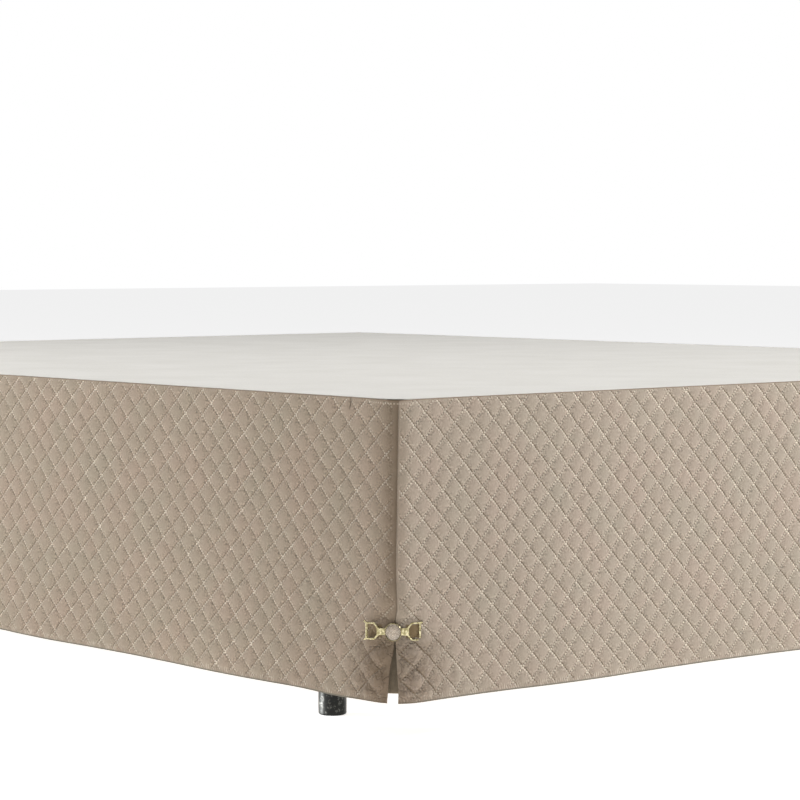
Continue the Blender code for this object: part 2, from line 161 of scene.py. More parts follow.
# Hems and seams of a drop
HEM_BAND = 5.5 * MM
HEM_STROKES = 12 * MM
TOP_SEAM = 2.0 * MM
SLIT_HEM = 2.0 * MM
SEAM_STAND = 1.15 * MM
SEAM_DENT = 0.45 * MM
SEAM_DENT_WIDTH = 0.9 * MM
EDGE_ROUND = 1.5 * MM
EDGE_STEPS = np.array((0.0, 0.25, 0.8, 1.7)) * MM

# Soft ridges and troughs: u, h, width across, reach along, lean from upright in degrees, and how far
# they stand out
FOOT_FOLDS = (
    (20, 61, 9, 9, 0, 1.1),
    (42, 64, 6, 13, -38, -1.5),
    (83, 32, 3.2, 17, 4, -1.5),
    (91, 34, 4.5, 20, 4, 1.0),
    (66, 22, 7, 12, -30, -0.7),
    (32, 26, 8, 12, 20, 0.7),
    (30, 46, 2.8, 12, 30, -1.3),
    (55, 44, 2.8, 14, -32, -1.0),
    (24, 20, 2.6, 10, -22, -1.0),
    (48, 30, 3.2, 12, 36, 0.9),
    (150, 20, 10, 26, 8, 0.6),
    (236, 26, 12, 30, -6, -0.6),
    (420, 30, 14, 42, 4, 0.8),
    (640, 26, 12, 38, -5, -0.7),
    (905, 32, 14, 44, 6, 0.8),
    (1180, 28, 12, 36, -4, -0.6),
    (1340, 34, 10, 28, 7, 0.7),
    (1530, 30, 4, 16, -6, -1.2),
    (1560, 60, 8, 11, 25, -1.0),
)
SIDE_FOLDS = (
    (80, 344, 1.5, 8, 0, -2.2),
    (99, 338, 1.5, 3, 0, -1.6),
    (58, 66, 5, 12, 35, -1.2),
    (41, 60, 5, 9, 30, -0.8),
    (29, 52, 7, 8, 0, 1.0),
    (19, 38, 6, 12, 0, -0.8),
    (36, 42, 2.6, 12, -34, -1.3),
    (54, 34, 2.8, 14, 30, -1.0),
    (30, 20, 2.6, 10, 24, -1.0),
    (64, 52, 3.2, 10, -28, 0.9),
    (70, 22, 6, 16, -20, 0.7),
    (108, 20, 6, 18, 10, -0.7),
    (190, 24, 10, 26, 0, 0.6),
    (330, 22, 10, 28, 8, -0.6),
    (560, 28, 14, 40, -5, 0.8),
    (820, 26, 12, 34, 5, -0.7),
    (1150, 30, 14, 42, -4, 0.8),
    (1480, 28, 12, 36, 6, -0.7),
    (1790, 30, 12, 40, -5, 0.7),
)
CREASE_LENGTHS = (0.23, 0.117, 0.061)
CREASE = 0.35 * MM

# The two kinds of drop: its quilting, its hang, and how many slits it ends at
Drop = namedtuple("Drop", "quilt waves folds sag slits")
FOOT_DROP = Drop(FOOT_QUILT, FOOT_WAVES, FOOT_FOLDS, 0.0, 2)
SIDE_DROP = Drop(SIDE_QUILT, SIDE_WAVES, SIDE_FOLDS, SIDE_SAG, 1)

# Where the buckle lies on a drop: how far along, how wide, and the most that the cloth stands there
PRESS_ALONG = 8 * MM
PRESS_SPREAD = 13 * MM
PRESSED = 1.25 * MM

# Corner flap
FLAP_THICK = 1.7 * MM
FLAP_GAP = 0.45 * MM
FLAP_REACH = 92 * MM
FLAP_BOTTOM = HEM_HEIGHT + 10 * MM
FLAP_DROOP = 0.25 * MM
FLAP_ROWS = 84
FLAP_COLUMNS = 61

# Buckle
BUCKLE_HEIGHT = 83 * MM
BUCKLE_BOW = 66 * MM
BUCKLE_GAP = 0.45 * MM
BUCKLE_TURN = 4.7
BUCKLE_SLANT = 4.0
ARM_START = 12 * MM
FOOT_ARM_SHORTER = 0.10

# Camera, fitted to the photograph's edges
CAMERA_PLACE = Vector((-2.811, -3.358, 0.570))
CAMERA_YAW = 40.474
CAMERA_PITCH = 3.135
CAMERA_LENS = 123.44

FLOOR_SIZE = 60
WORLD_STRENGTH = 0.14


# Shape helpers


def smooth_step(low, high, value):
    share = np.clip((value - low) / (high - low), 0.0, 1.0)
    return share * share * (3 - 2 * share)


def hump(value, centre, spread):
    return np.exp(-(((value - centre) / spread) ** 2))


def eased(place, knots, values):
    """A smooth curve through the knots that never overshoots them."""
    steps = np.diff(knots)
    slopes = np.diff(values) / steps
    before, after = slopes[:-1], slopes[1:]
    same_way = before * after > 0
    total = np.where(same_way, before + after, 1.0)
    inner = np.where(same_way, 2 * before * after / total, 0.0)
    tangents = np.concatenate(([slopes[0]], inner, [slopes[-1]]))
    i = np.clip(np.searchsorted(knots, place, side="right") - 1, 0, len(steps) - 1)
    t = (place - knots[i]) / steps[i]
    rise = t * t * (3 - 2 * t)
    bend_in = t * (1 - t) ** 2 * steps[i] * tangents[i]
    bend_out = t * t * (t - 1) * steps[i] * tangents[i + 1]
    return values[i] + rise * (values[i + 1] - values[i]) + bend_in + bend_out


def section_at(field, h):
    """A column of the corner table, eased to any height above the hem."""
    return eased(h, CORNER["height"] * MM, CORNER[field])


def stand_off(h):
    """How far a drop's middle surface stands from the base."""
    return HANG_GAP + CLOTH / 2 + FLARE * (1 - h / DROP)


def bend(panel, h):
    """Radius, full angle and end of a panel's bend into the corner."""
    radius = section_at(panel + "_radius", h) * MM
    full = np.radians(section_at(panel + "_turn", h))
    end = section_at(panel + "_end", h) * MM
    return radius, full, end


def cloth_end(panel, h):
    """Where the cloth stops at the slit, as u. The buckle draws the two ends together."""
    radius, full, end = bend(panel, h)
    pulled = PULL[panel] * hump(h, PULL_HEIGHT, PULL_SPREAD)
    return end + radius * (np.sin(full) - full) - pulled


def round_corner(panel, u, h):
    """Distance along the panel, distance inward, and the angle turned, in plan."""
    radius, full, end = bend(panel, h)
    start = end + radius * np.sin(full)
    angle = np.maximum(0.0, start - u) / radius
    along = np.where(angle > 0, start - radius * np.sin(angle), u)
    return along, radius * (1 - np.cos(angle)), angle


def wave_out(waves, u, h, fade):
    out = 0.0
    for amplitude, length, phase in waves:
        out = out + amplitude * MM * (1 + np.sin(2 * math.pi * u / length + phase)) / 2
    return out * fade * (1 - h / DROP)


def puff_out(from_slit, h):
    along = (from_slit - PUFF_FROM_SLIT) / PUFF_SPREAD_ALONG
    up = (h - PUFF_HEIGHT) / PUFF_SPREAD_UP
    return PUFF * np.exp(-along * along - up * up)


def folds_out(folds, u, h):
    out = np.zeros(np.broadcast(u, h).shape)
    for fold_u, fold_h, width, reach, lean, depth in folds:
        cos, sin = math.cos(math.radians(lean)), math.sin(math.radians(lean))
        off_u, off_h = u - fold_u * MM, h - fold_h * MM
        across = (off_u * cos + off_h * sin) / (width * MM)
        along = (off_h * cos - off_u * sin) / (reach * MM)
        out += depth * MM * np.exp(-(across**2 + along**2))
    return out


def slack_out(u, h):
    """Small lazy unevenness that grows towards the hem."""
    out = 0.0
    for number, length in enumerate(CREASE_LENGTHS):
        sway = np.sin(2 * math.pi * u / length + 1.7 * number + 5.0 * h / DROP)
        out = out + CREASE * sway / (1 + number)
    return out * (0.35 + 0.65 * (1 - h / DROP))


def hang_out(drop, u, h, near, from_slit):
    """How far a drop's middle surface hangs out from its plane."""
    fade = smooth_step(WAVE_START, WAVE_FULL, near)
    out = wave_out(drop.waves, u, h, fade) + puff_out(from_slit, h)
    return out + folds_out(drop.folds, u, h) + slack_out(u, h) * smooth_step(0, 60 * MM, from_slit)


def height_of(u, near, h, sag):
    """Height above the floor: the hem ripples a little and sags, and the top dips near a slit."""
    ripple = HEM_RIPPLE * np.sin(2 * math.pi * u / HEM_RIPPLE_LENGTH)
    ripple = ripple - sag * hump(near, SAG_PLACE, SAG_SPREAD)
    dip = CORNER_DIP * np.exp(-near / CORNER_DIP_REACH)
    return HEM_HEIGHT + h + ripple * (1 - h / DROP) - dip * smooth_step(DROP - DIP_BELOW, DROP, h)


def creep_at(amounts, u, h):
    """How far lines have crept at a place, in shares of a repeat."""
    total = 0.0
    for amount, (along, up) in zip(amounts, CREEP_SPANS):
        gone_along = smooth_step(along[0] * MM, along[1] * MM, u)
        gone_up = smooth_step(up[0] * MM, up[1] * MM, h)
        total = total + amount * gone_along * gone_up
    return total


def quilt_lines(quilt, u, h):
    """How far along its repeat a place is, for the falling and the rising lines."""
    falling = u / quilt.wide + h / quilt.tall - quilt.falling
    rising = h / quilt.tall - u / quilt.wide - quilt.rising
    falling = falling - creep_at(quilt.falling_creep, u, h)
    rising = rising - creep_at(quilt.rising_creep, u, h)
    return falling, rising


def drop_grid(quilt, rows, starts, stops):
    """u and h of a drop's points, which follow its quilting lines except at the cloth's edges."""
    u = cloth_columns(quilt, starts, stops)
    h = np.broadcast_to(rows[:, None], u.shape)
    near_end = np.minimum(u - u[:, :1], u[:, -1:] - u)
    free = smooth_step(0, GRID_EASE, np.minimum(h, DROP - h)) * smooth_step(0, GRID_EASE, near_end)
    moved_u, moved_h = u, h
    for _ in range(6):
        falling = creep_at(quilt.falling_creep, moved_u, moved_h)
        rising = creep_at(quilt.rising_creep, moved_u, moved_h)
        moved_u = u + free * quilt.wide * (falling - rising) / 2
        moved_h = h + free * quilt.tall * (falling + rising) / 2
    return moved_u, moved_h


def quilt_relief(lines, h, from_ends, from_slit):
    """How far the outer face stands from the middle surface."""
    plump = 1.0
    for place in lines:
        off_line = 2 * np.abs(place - np.round(place))
        plump = plump * (1 - (1 - off_line) ** 2) ** PLUMPNESS
    open_cloth = smooth_step(HEM_BAND - 2 * MM, HEM_BAND + 4 * MM, h)
    for width, from_edge in ((TOP_SEAM, DROP - h), (SLIT_HEM, from_ends)):
        open_cloth = open_cloth * smooth_step(width - 1 * MM, width + 3 * MM, from_edge)
    gathered = smooth_step(*GATHER_ALONG, from_slit) * smooth_step(*GATHER_UP, h)
    quilted = VALLEY + (CREST - VALLEY) * plump * (1 + gathered)
    hemmed = SEAM_STAND
    for place in (DROP - TOP_SEAM - h, from_ends - SLIT_HEM):
        hemmed = hemmed - SEAM_DENT * hump(place, 0, SEAM_DENT_WIDTH)
    return hemmed + (quilted - hemmed) * open_cloth


def rounded(edge_distance):
    """Share of the thickness left near an edge, so that the edge is round."""
    share = np.clip(edge_distance / EDGE_ROUND, 0.0, 1.0)
    return 0.12 + 0.88 * np.sqrt(1 - (1 - share) ** 2)


# Mesh helpers


def new_object(name, data):
    thing = bpy.data.objects.new(name, data)
    bpy.context.scene.collection.objects.link(thing)
    return thing


def smooth_all(mesh):
    mesh.polygons.foreach_set("use_smooth", [True] * len(mesh.polygons))


def choose_diagonals(height):
    """For each cell of a grid, whether its lower diagonal runs from its first corner."""
    first = height[:-1, :-1] + height[1:, 1:]
    second = height[:-1, 1:] + height[1:, :-1]
    return first <= second


def grid_faces(index, lower_first, flip):
    """Two triangles for each cell of a grid of point numbers."""
    a, b = index[:-1, :-1], index[:-1, 1:]
    c, d = index[1:, 1:], index[1:, :-1]
    lower = lower_first[..., None]
    one = np.where(lower, np.stack((a, b, c), -1), np.stack((a, b, d), -1))
    two = np.where(lower, np.stack((a, c, d), -1), np.stack((b, c, d), -1))
    faces = np.concatenate((one.reshape(-1, 3), two.reshape(-1, 3)))
    return faces[:, ::-1] if flip else faces


def rim_faces(fine, kept, coarse, flip):
    """Joins a fine edge of the outer face to the same edge of the inner face, kept at some points."""
    faces = []
    for number, (start, stop) in enumerate(zip(kept, kept[1:])):
        face = [coarse[number], coarse[number + 1], *fine[start : stop + 1][::-1]]
        faces.append(face[::-1] if flip else face)
    return faces


def kept_numbers(count, step, first=3, last=3):
    """Row or column numbers kept for the inner face: all at the ends, every few between."""
    return sorted({*range(first), *range(first, count - last, step), *range(count - last, count)})


def sheet_object(name, faces, cloth_place, marks, relief, kept, flip, materials):
    """A closed thin sheet: a fine outer face and an inner face of fewer points."""
    outer, inner = faces
    outer_index = np.arange(relief.size).reshape(relief.shape)
    inner_grid = np.ix_(*kept)
    inner_size = [len(numbers) for numbers in kept]
    inner_index = relief.size + np.arange(math.prod(inner_size)).reshape(inner_size)
    points, flat, marked = (
        np.concatenate((fine.reshape(-1, size), coarse[inner_grid].reshape(-1, size)))
        for fine, coarse, size in ((outer, inner, 3), (cloth_place, cloth_place, 2), (marks, marks, 3))
    )
    front = grid_faces(outer_index, choose_diagonals(relief), flip).tolist()
    back = grid_faces(inner_index, choose_diagonals(relief[inner_grid]), not flip).tolist()
    rims = []
    for end, turned in ((0, flip), (-1, not flip)):
        rims += rim_faces(outer_index[end], kept[1], inner_index[end], turned)
    for end, turned in ((0, not flip), (-1, flip)):
        rims += rim_faces(outer_index[:, end], kept[0], inner_index[:, end], turned)
    mesh = bpy.data.meshes.new(name)
    mesh.from_pydata(points.tolist(), [], front + back + rims)
    smooth_all(mesh)
    for material in materials:
        mesh.materials.append(material)
    material_of = [0] * len(front) + [1] * len(back) + [0] * len(rims)
    mesh.polygons.foreach_set("material_index", material_of)
    loop_points = np.zeros(len(mesh.loops), int)
    mesh.loops.foreach_get("vertex_index", loop_points)
    mesh.uv_layers.new(name="cloth").data.foreach_set("uv", flat[loop_points].ravel())
    places = mesh.attributes.new("marks", "FLOAT_VECTOR", "POINT")
    places.data.foreach_set("vector", marked.astype(np.float32).ravel())
    mesh.update()
    return new_object(name, mesh)


def plain_sheet(name, faces, cloth_place, from_edge, relief, steps, flip, materials):
    """A sheet without quilting: its marks hold only the distance from its edge."""
    none = np.zeros(from_edge.shape)
    marks = np.stack((none, none, from_edge), -1)
    kept = [kept_numbers(count, step) for count, step in zip(from_edge.shape, steps)]
    return sheet_object(name, faces, cloth_place, marks, relief, kept, flip, materials)


def aligned(first, last, pitch, offset):
    """Places a pitch apart that lie between two ends and meet the quilting's crossings."""
    start = math.ceil((first - offset) / pitch)
    stop = math.floor((last - offset) / pitch)
    return offset + pitch * np.arange(start, stop + 1)


def cloth_rows(quilt):
    """Heights of the rows of a drop, close together at its hem and its top."""
    pitch = quilt.tall / CELLS
    offset = quilt.tall * (quilt.falling + quilt.rising) / 2
    margin = EDGE_STEPS[-1] + pitch / 2
    middle = aligned(margin, DROP - margin, pitch, offset)
    return np.concatenate((EDGE_STEPS, middle, DROP - EDGE_STEPS[::-1]))


def cloth_columns(quilt, starts, stops):
    """u for each row and column of a drop, between ends that vary from row to row."""
    pitch = quilt.wide / CELLS
    offset = quilt.wide * (quilt.falling - quilt.rising) / 2
    zone = 4.2 * pitch
    first = aligned(starts.max() + zone, stops.min(), pitch, offset)[0]
    middle = aligned(first - pitch / 2, stops.min() - zone, pitch, offset)
    shares = np.arange(1, 4) / 4
    first_edge = starts[:, None] + EDGE_STEPS
    ease_in = first_edge[:, -1:] + (middle[0] - first_edge[:, -1:]) * shares
    last_edge = stops[:, None] - EDGE_STEPS[::-1]
    ease_out = middle[-1] + (last_edge[:, :1] - middle[-1]) * shares
    body = np.tile(middle, (len(starts), 1))
    return np.concatenate((first_edge, ease_in, body, ease_out, last_edge), axis=1)


def make_drop(name, drop, u, h, near, plan, from_ends, from_slit, flip, materials):
    """Builds a drop from its plan: x, y, the outward x and y, and how far along its panel it is."""
    x, y, normal_x, normal_y, along = plan
    lines = quilt_lines(drop.quilt, u, h)
    shape = rounded(np.minimum(np.minimum(h, DROP - h), from_ends))
    z = height_of(u, along, h, drop.sag)
    out = hang_out(drop, u, h, near, from_slit)
    relief = quilt_relief(lines, h, from_ends, from_slit)
    off_along, off_up = (along - PRESS_ALONG) / PRESS_SPREAD, (h - BUCKLE_HEIGHT) / PRESS_SPREAD
    press = np.exp(-(off_along**2) - off_up**2)
    relief = relief * (1 - press) + np.minimum(relief, PRESSED) * press
    outward = out + relief * shape
    inward = np.maximum(out, DEEPEST_BACK) - BACK * shape
    faces = [np.stack((x + normal_x * off, y + normal_y * off, z), -1) for off in (outward, inward)]
    corner = int(np.searchsorted(u[0], KEPT_CORNER))
    last = corner if drop.slits == 2 else 5
    kept = (kept_numbers(len(u), BACK_CELLS), kept_numbers(u.shape[1], BACK_CELLS, corner, last))
    marks = np.stack((*lines, from_ends), -1)
    return sheet_object(name, faces, np.stack((u, h), -1), marks, outward, kept, flip, materials)


def make_side_panel(name, side, materials):
    rows = cloth_rows(SIDE_QUILT)
    length = HEAD_SIDE_Y - FOOT_SIDE_Y
    u, h = drop_grid(SIDE_QUILT, rows, cloth_end("side", rows), length + stand_off(rows))
    along, inward, angle = round_corner("side", u, h)
    off = stand_off(h)
    x = side * (HALF_WIDTH + off - inward)
    y = FOOT_SIDE_Y - off + along
    plan = (x, y, side * np.cos(angle), -np.sin(angle), along)
    from_slit = u - cloth_end("side", h)
    from_ends = np.minimum(from_slit, length + off - u)
    return make_drop(name, SIDE_DROP, u, h, u, plan, from_ends, from_slit, side < 0, materials)


def make_foot_panel(name, materials):
    rows = cloth_rows(FOOT_QUILT)
    starts = cloth_end("foot", rows)
    u, h = drop_grid(FOOT_QUILT, rows, starts, 2 * (HALF_WIDTH + stand_off(rows)) - starts)
    off = stand_off(h)
    length = 2 * (HALF_WIDTH + off)
    left = u < length / 2
    near = np.where(left, u, length - u)
    side = np.where(left, -1.0, 1.0)
    along, inward, angle = round_corner("foot", near, h)
    x = side * (HALF_WIDTH + off - along)
    y = FOOT_SIDE_Y - off + inward
    plan = (x, y, side * np.sin(angle), -np.cos(angle), along)
    from_slit = near - cloth_end("foot", h)
    return make_drop(name, FOOT_DROP, u, h, near, plan, from_slit, from_slit, False, materials)


# Flaps and deck cloth


def make_flap(name, side, materials):
    """The plain cloth behind a corner slit: along the side panel, round, along the foot panel."""
    bottom = FLAP_BOTTOM - HEM_HEIGHT
    top = DECK_TOP - DECK_THICK - 0.3 * MM - HEM_HEIGHT
    middle = np.linspace(bottom + 4 * MM, top - 4 * MM, FLAP_ROWS)
    rows = np.concatenate((bottom + EDGE_STEPS, middle, top - EDGE_STEPS[::-1]))[:, None]
    plane = CLOTH / 2 + FLAP_GAP + FLAP_THICK / 2
    radius = section_at("flap_radius", rows) * MM - FLAP_THICK / 2
    straight = FLAP_REACH - plane - radius
    length = 2 * straight + math.pi / 2 * radius
    inset = EDGE_STEPS[-1] + 2 * MM
    body = inset + np.linspace(0, 1, FLAP_COLUMNS) * (length - 2 * inset)
    begin = np.tile(EDGE_STEPS, (len(rows), 1))
    u = np.concatenate((begin, body, length - EDGE_STEPS[::-1]), axis=1)
    h = np.broadcast_to(rows, u.shape)
    angle = np.clip((u - straight) / radius, 0, math.pi / 2)
    cos, sin = np.cos(angle), np.sin(angle)
    centre = plane + radius
    off = stand_off(rows)
    x = side * (HALF_WIDTH + off - (centre - radius * cos + np.maximum(0, u - (length - straight))))
    y = FOOT_SIDE_Y - off + (centre - radius * sin + np.maximum(0, straight - u))
    from_edge = np.minimum(np.minimum(h - bottom, top - h), np.minimum(u, length - u))
    shape = rounded(from_edge) * FLAP_THICK / 2
    droop = FLAP_DROOP * np.sin(u / (9 * MM) + h / (31 * MM)) * smooth_step(top, bottom, h)
    faces = []
    for outward in (droop + shape - FLAP_DROOP, droop - shape - FLAP_DROOP):
        faces.append(np.stack((x + side * cos * outward, y - sin * outward, HEM_HEIGHT + h), -1))
    cloth_place = np.stack((u, h), -1)
    return plain_sheet(name, faces, cloth_place, from_edge, shape, (3, 2), side > 0, materials)


DECK_WRINKLES = (
    (-520, 610, 14, 160, 62, 1.3),
    (-480, 640, 9, 120, 66, -0.4),
    (330, 420, 16, 190, -48, 1.1),
    (610, 1500, 15, 170, 35, 1.2),
    (80, 1180, 20, 240, 80, 1.0),
    (-300, 1640, 13, 150, -25, 1.2),
    (-700, 1100, 12, 130, 8, 1.0),
    (250, 1800, 15, 150, 70, 1.1),
    (700, 260, 12, 110, -30, 0.9),
    (-60, 190, 16, 140, 84, 1.0),
)
DECK_SEAM = 16 * MM
DECK_SEAM_WIDTH = 1.1 * MM
DECK_SEAM_DEPTH = 0.5 * MM
DECK_CORNER = 20 * MM
DECK_RIM = 34 * MM
DECK_ROWS = 120
DECK_COLUMNS = 100
DECK_RIM_STEPS = np.array((3, 6, 10, 14, 15.2, 16, 16.8, 18, 22)) * MM


def make_deck(materials):
    """The flat cloth that carries the drops, with a little slack in it and a seam round its edge."""
    length = deck_high.y - deck_low.y
    steps = np.concatenate((EDGE_STEPS, DECK_RIM_STEPS))
    middle = np.linspace(DECK_RIM, length - DECK_RIM, DECK_ROWS)
    rows = np.concatenate((steps, middle, length - steps[::-1]))[:, None]
    into_corner = np.maximum(0, DECK_CORNER - rows)
    half = deck_high.x - (DECK_CORNER - np.sqrt(np.maximum(0, DECK_CORNER**2 - into_corner**2)))
    middle = np.linspace(-1, 1, DECK_COLUMNS) * (half - DECK_RIM)
    x = np.concatenate((steps - half, middle, half - steps[::-1]), axis=1)
    v = np.broadcast_to(rows, x.shape)
    from_edge = np.minimum(half - np.abs(x), np.minimum(v, length - v))
    shape = rounded(from_edge)
    slack = smooth_step(20 * MM, 90 * MM, from_edge) * folds_out(DECK_WRINKLES, x, v)
    seam_line = DECK_SEAM_DEPTH * hump(from_edge, DECK_SEAM, DECK_SEAM_WIDTH)
    welt = DECK_SEAM_DEPTH * smooth_step(DECK_SEAM + 1 * MM, DECK_SEAM - 1 * MM, from_edge)
    middle_z = (deck_low.z + deck_high.z) / 2
    under = DECK_THICK / 2 * shape
    relief = under + np.maximum(0, slack + welt - seam_line)
    faces = [np.stack((x, deck_low.y + v, middle_z + rise), -1) for rise in (relief, -under)]
    cloth_place = np.stack((x, v), -1)
    return plain_sheet("deck_top", faces, cloth_place, from_edge, relief, (6, 6), False, materials)


# Modelling by hand


def drop_selection():
    bpy.ops.object.select_all(action="DESELECT")


def pick(*things):
    """Selects pieces alone, with the first one active."""
    drop_selection()
    for thing in things:
        thing.select_set(True)
    bpy.context.view_layer.objects.active = things[0]


def new_piece(add_primitive, **settings):
    """A primitive, added with nothing else selected."""
    drop_selection()
    add_primitive(**settings)
    return bpy.context.view_layer.objects.active


@contextmanager
def editing(thing, choose, kind="FACE"):
    """Edit mode on a piece, with only the chosen faces or edges selected."""
    pick(thing)
    bpy.ops.object.mode_set(mode="EDIT")
    bpy.ops.mesh.select_mode(type=kind)
    bpy.ops.mesh.select_all(action="DESELECT")
    builder = bmesh.from_edit_mesh(thing.data)
    for element in builder.faces if kind == "FACE" else builder.edges:
        element.select_set(bool(choose(element)))
    bmesh.update_edit_mesh(thing.data)
    yield
    bpy.ops.object.mode_set(mode="OBJECT")


def bevel_edges(thing, choose, offset, segments):
    with editing(thing, choose, "EDGE"):
        bpy.ops.mesh.bevel(offset=offset, segments=segments, affect="EDGES")


def cut_through(thing, place, normal):
    """Adds a loop of edges all round, where a plane cuts the piece."""
    with editing(thing, lambda face: True):
        bpy.ops.mesh.bisect(plane_co=place, plane_no=normal)


def settle(thing):
    """Puts a piece's place, turn and size into its mesh."""
    pick(thing)
    bpy.ops.object.transform_apply(location=True, rotation=True, scale=True)


def apply_modifier(thing, kind, **settings):
    pick(thing)
    modifier = thing.modifiers.new(kind.lower(), kind)
    for key, value in settings.items():
        setattr(modifier, key, value)
    bpy.ops.object.modifier_apply(modifier=modifier.name)


def join(name, things):
    pick(*things)
    bpy.ops.object.join()
    joined = things[0]
    joined.name = joined.data.name = name
    return joined


def finish(thing, material, smooth):
    """A piece's material and smooth faces, with its sharp edges kept."""
    thing.data.materials.clear()
    thing.data.materials.append(material)
    pick(thing)
    bpy.ops.object.shade_smooth_by_angle(angle=math.radians(smooth))
    return thing


def is_level(edge, levels):
    return all(min(abs(v.co.z - z) for z in levels) < MM for v in edge.verts)


def is_upright(edge):
    way = edge.verts[1].co - edge.verts[0].co
    return abs(way.z) > 0.9 * way.length


def curve_mesh(name, outlines, closed, **settings):
    """Straight runs of curve through points, turned into a mesh."""
    curve = bpy.data.curves.new(name, "CURVE")
    for key, value in settings.items():
        setattr(curve, key, value)
    for outline in outlines:
        spline = curve.splines.new("POLY")
        spline.points.add(len(outline) - 1)
        spline.use_cyclic_u = closed
        for knot, point in zip(spline.points, outline):
            knot.co = (*point, 1)
    pick(new_object(name, curve))
    bpy.ops.object.convert(target="MESH")
    return bpy.context.view_layer.objects.active


def round_cord(name, points, thickness, closed):
    settings = {"bevel_depth": thickness / 2, "bevel_resolution": 2, "use_fill_caps": not closed}
    return curve_mesh(name, [points], closed, dimensions="3D", **settings)


def rounded_rectangle(half_width, low_y, high_y, radius, z):
    steps = 8
    corners = (
        (half_width - radius, low_y + radius, -90),
        (half_width - radius, high_y - radius, 0),
        (-half_width + radius, high_y - radius, 90),
        (-half_width + radius, low_y + radius, 180),
    )
    points = []
    for x, y, first in corners:
        for step in range(steps + 1):
            turn = math.radians(first + 90 * step / steps)
            points.append((x + radius * math.cos(turn), y + radius * math.sin(turn), z))
    return points


# Bed base

BASE_CORNER = 30 * MM
BASE_EDGE = 10 * MM
BASE_PIPING = 6 * MM
BASE_SWELL = 1.4 * MM
BASE_CUTS = (24, 24, 6)
HEAD_SINK = 0.4 * MM
BOTTOM_SWELL = 2.2 * MM


def make_base(material, piping_material):
    """The padded box: rounded corners, soft edges, a crowned head face, piping round its bottom."""
    centre = (base_low + base_high) / 2
    size = base_high - base_low
    base = new_piece(bpy.ops.mesh.primitive_cube_add, size=1, location=centre, scale=size)
    base.name = base.data.name = "padded_base"
    settle(base)
    bevel_edges(base, is_upright, BASE_CORNER, 8)
    levels = (base_low.z, base_high.z)
    bevel_edges(base, lambda edge: is_level(edge, levels), BASE_EDGE, 4)
    for axis, count in enumerate(BASE_CUTS):
        for step in range(1, count):
            place = base_low.copy()
            place[axis] += size[axis] * step / count
            cut_through(base, place, Matrix.Identity(3)[axis])
    for vertex in base.data.vertices:
        turns = [math.pi * (vertex.co[axis] - centre[axis]) / size[axis] for axis in range(3)]
        across, along, rise = (max(0, math.cos(turn)) for turn in turns)
        near_head = vertex.co.y > HEAD_SIDE_Y - 2 * MM
        near_bottom = vertex.co.z < base_low.z + 2 * MM
        if near_head:
            vertex.co.y += BASE_SWELL * across**0.5 * rise - HEAD_SINK
        if near_bottom:
            vertex.co.z += BOTTOM_SWELL * across**0.5 * along**0.5
    finish(base, material, 40)
    inset = 2 * MM
    outline = rounded_rectangle(
        base_high.x - inset,
        base_low.y + inset,
        base_high.y - inset,
        BASE_CORNER - inset,
        base_low.z + 3.5 * MM,
    )
    seams = [round_cord("base_piping", outline, BASE_PIPING, True)]
    for x in (BASE_CORNER - 0.5 * size.x, 0.5 * size.x - BASE_CORNER):
        line = [(x, base_high.y, base_low.z + BASE_EDGE), (x, base_high.y, base_high.z - 8 * MM)]
        seams.append(round_cord("head_seam", line, 3 * MM, False))
    return base, finish(join("base_piping", seams), piping_material, 60)


# Feet

FOOT_CUTS = 64
FOOT_EDGE = 2.5 * MM
FOOT_GROOVE = (0.111, 0.113)
FOOT_PLATE = 0.152


def make_foot(number, metal):
    """A round metal foot: a turned tube with a rounded lower edge, a groove, and its top plate."""
    low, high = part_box(f"foot_{number}")
    foot = new_piece(
        bpy.ops.mesh.primitive_cylinder_add,
        vertices=FOOT_CUTS,
        radius=(high.x - low.x) / 2,
        depth=high.z - low.z,
        location=(low + high) / 2,
    )
    foot.name = foot.data.name = f"turned_foot_{number}"
    settle(foot)
    bevel_edges(foot, lambda edge: is_level(edge, [low.z]), FOOT_EDGE, 6)
    with editing(foot, lambda face: face.normal.z < -0.99):
        bpy.ops.mesh.inset(thickness=1.2 * MM)
        bpy.ops.mesh.extrude_region_move(TRANSFORM_OT_translate={"value": (0, 0, 0.8 * MM)})
    start, stop, plate = (low.z + height for height in (*FOOT_GROOVE, FOOT_PLATE))
    for height in (start, stop, plate):
        cut_through(foot, (0, 0, height), (0, 0, 1))
    with editing(foot, lambda face: start < face.calc_center_median().z < stop):
        bpy.ops.mesh.inset(thickness=0.4 * MM, depth=-0.6 * MM)
    with editing(foot, lambda face: face.calc_center_median().z > plate and abs(face.normal.z) < 0.1):
        bpy.ops.mesh.inset(thickness=0.5 * MM)
        bpy.ops.mesh.extrude_region_shrink_fatten(TRANSFORM_OT_shrink_fatten={"value": 7 * MM})
    return finish(foot, metal, 35)


# Buckles, in millimetres on the flat before they are bowed

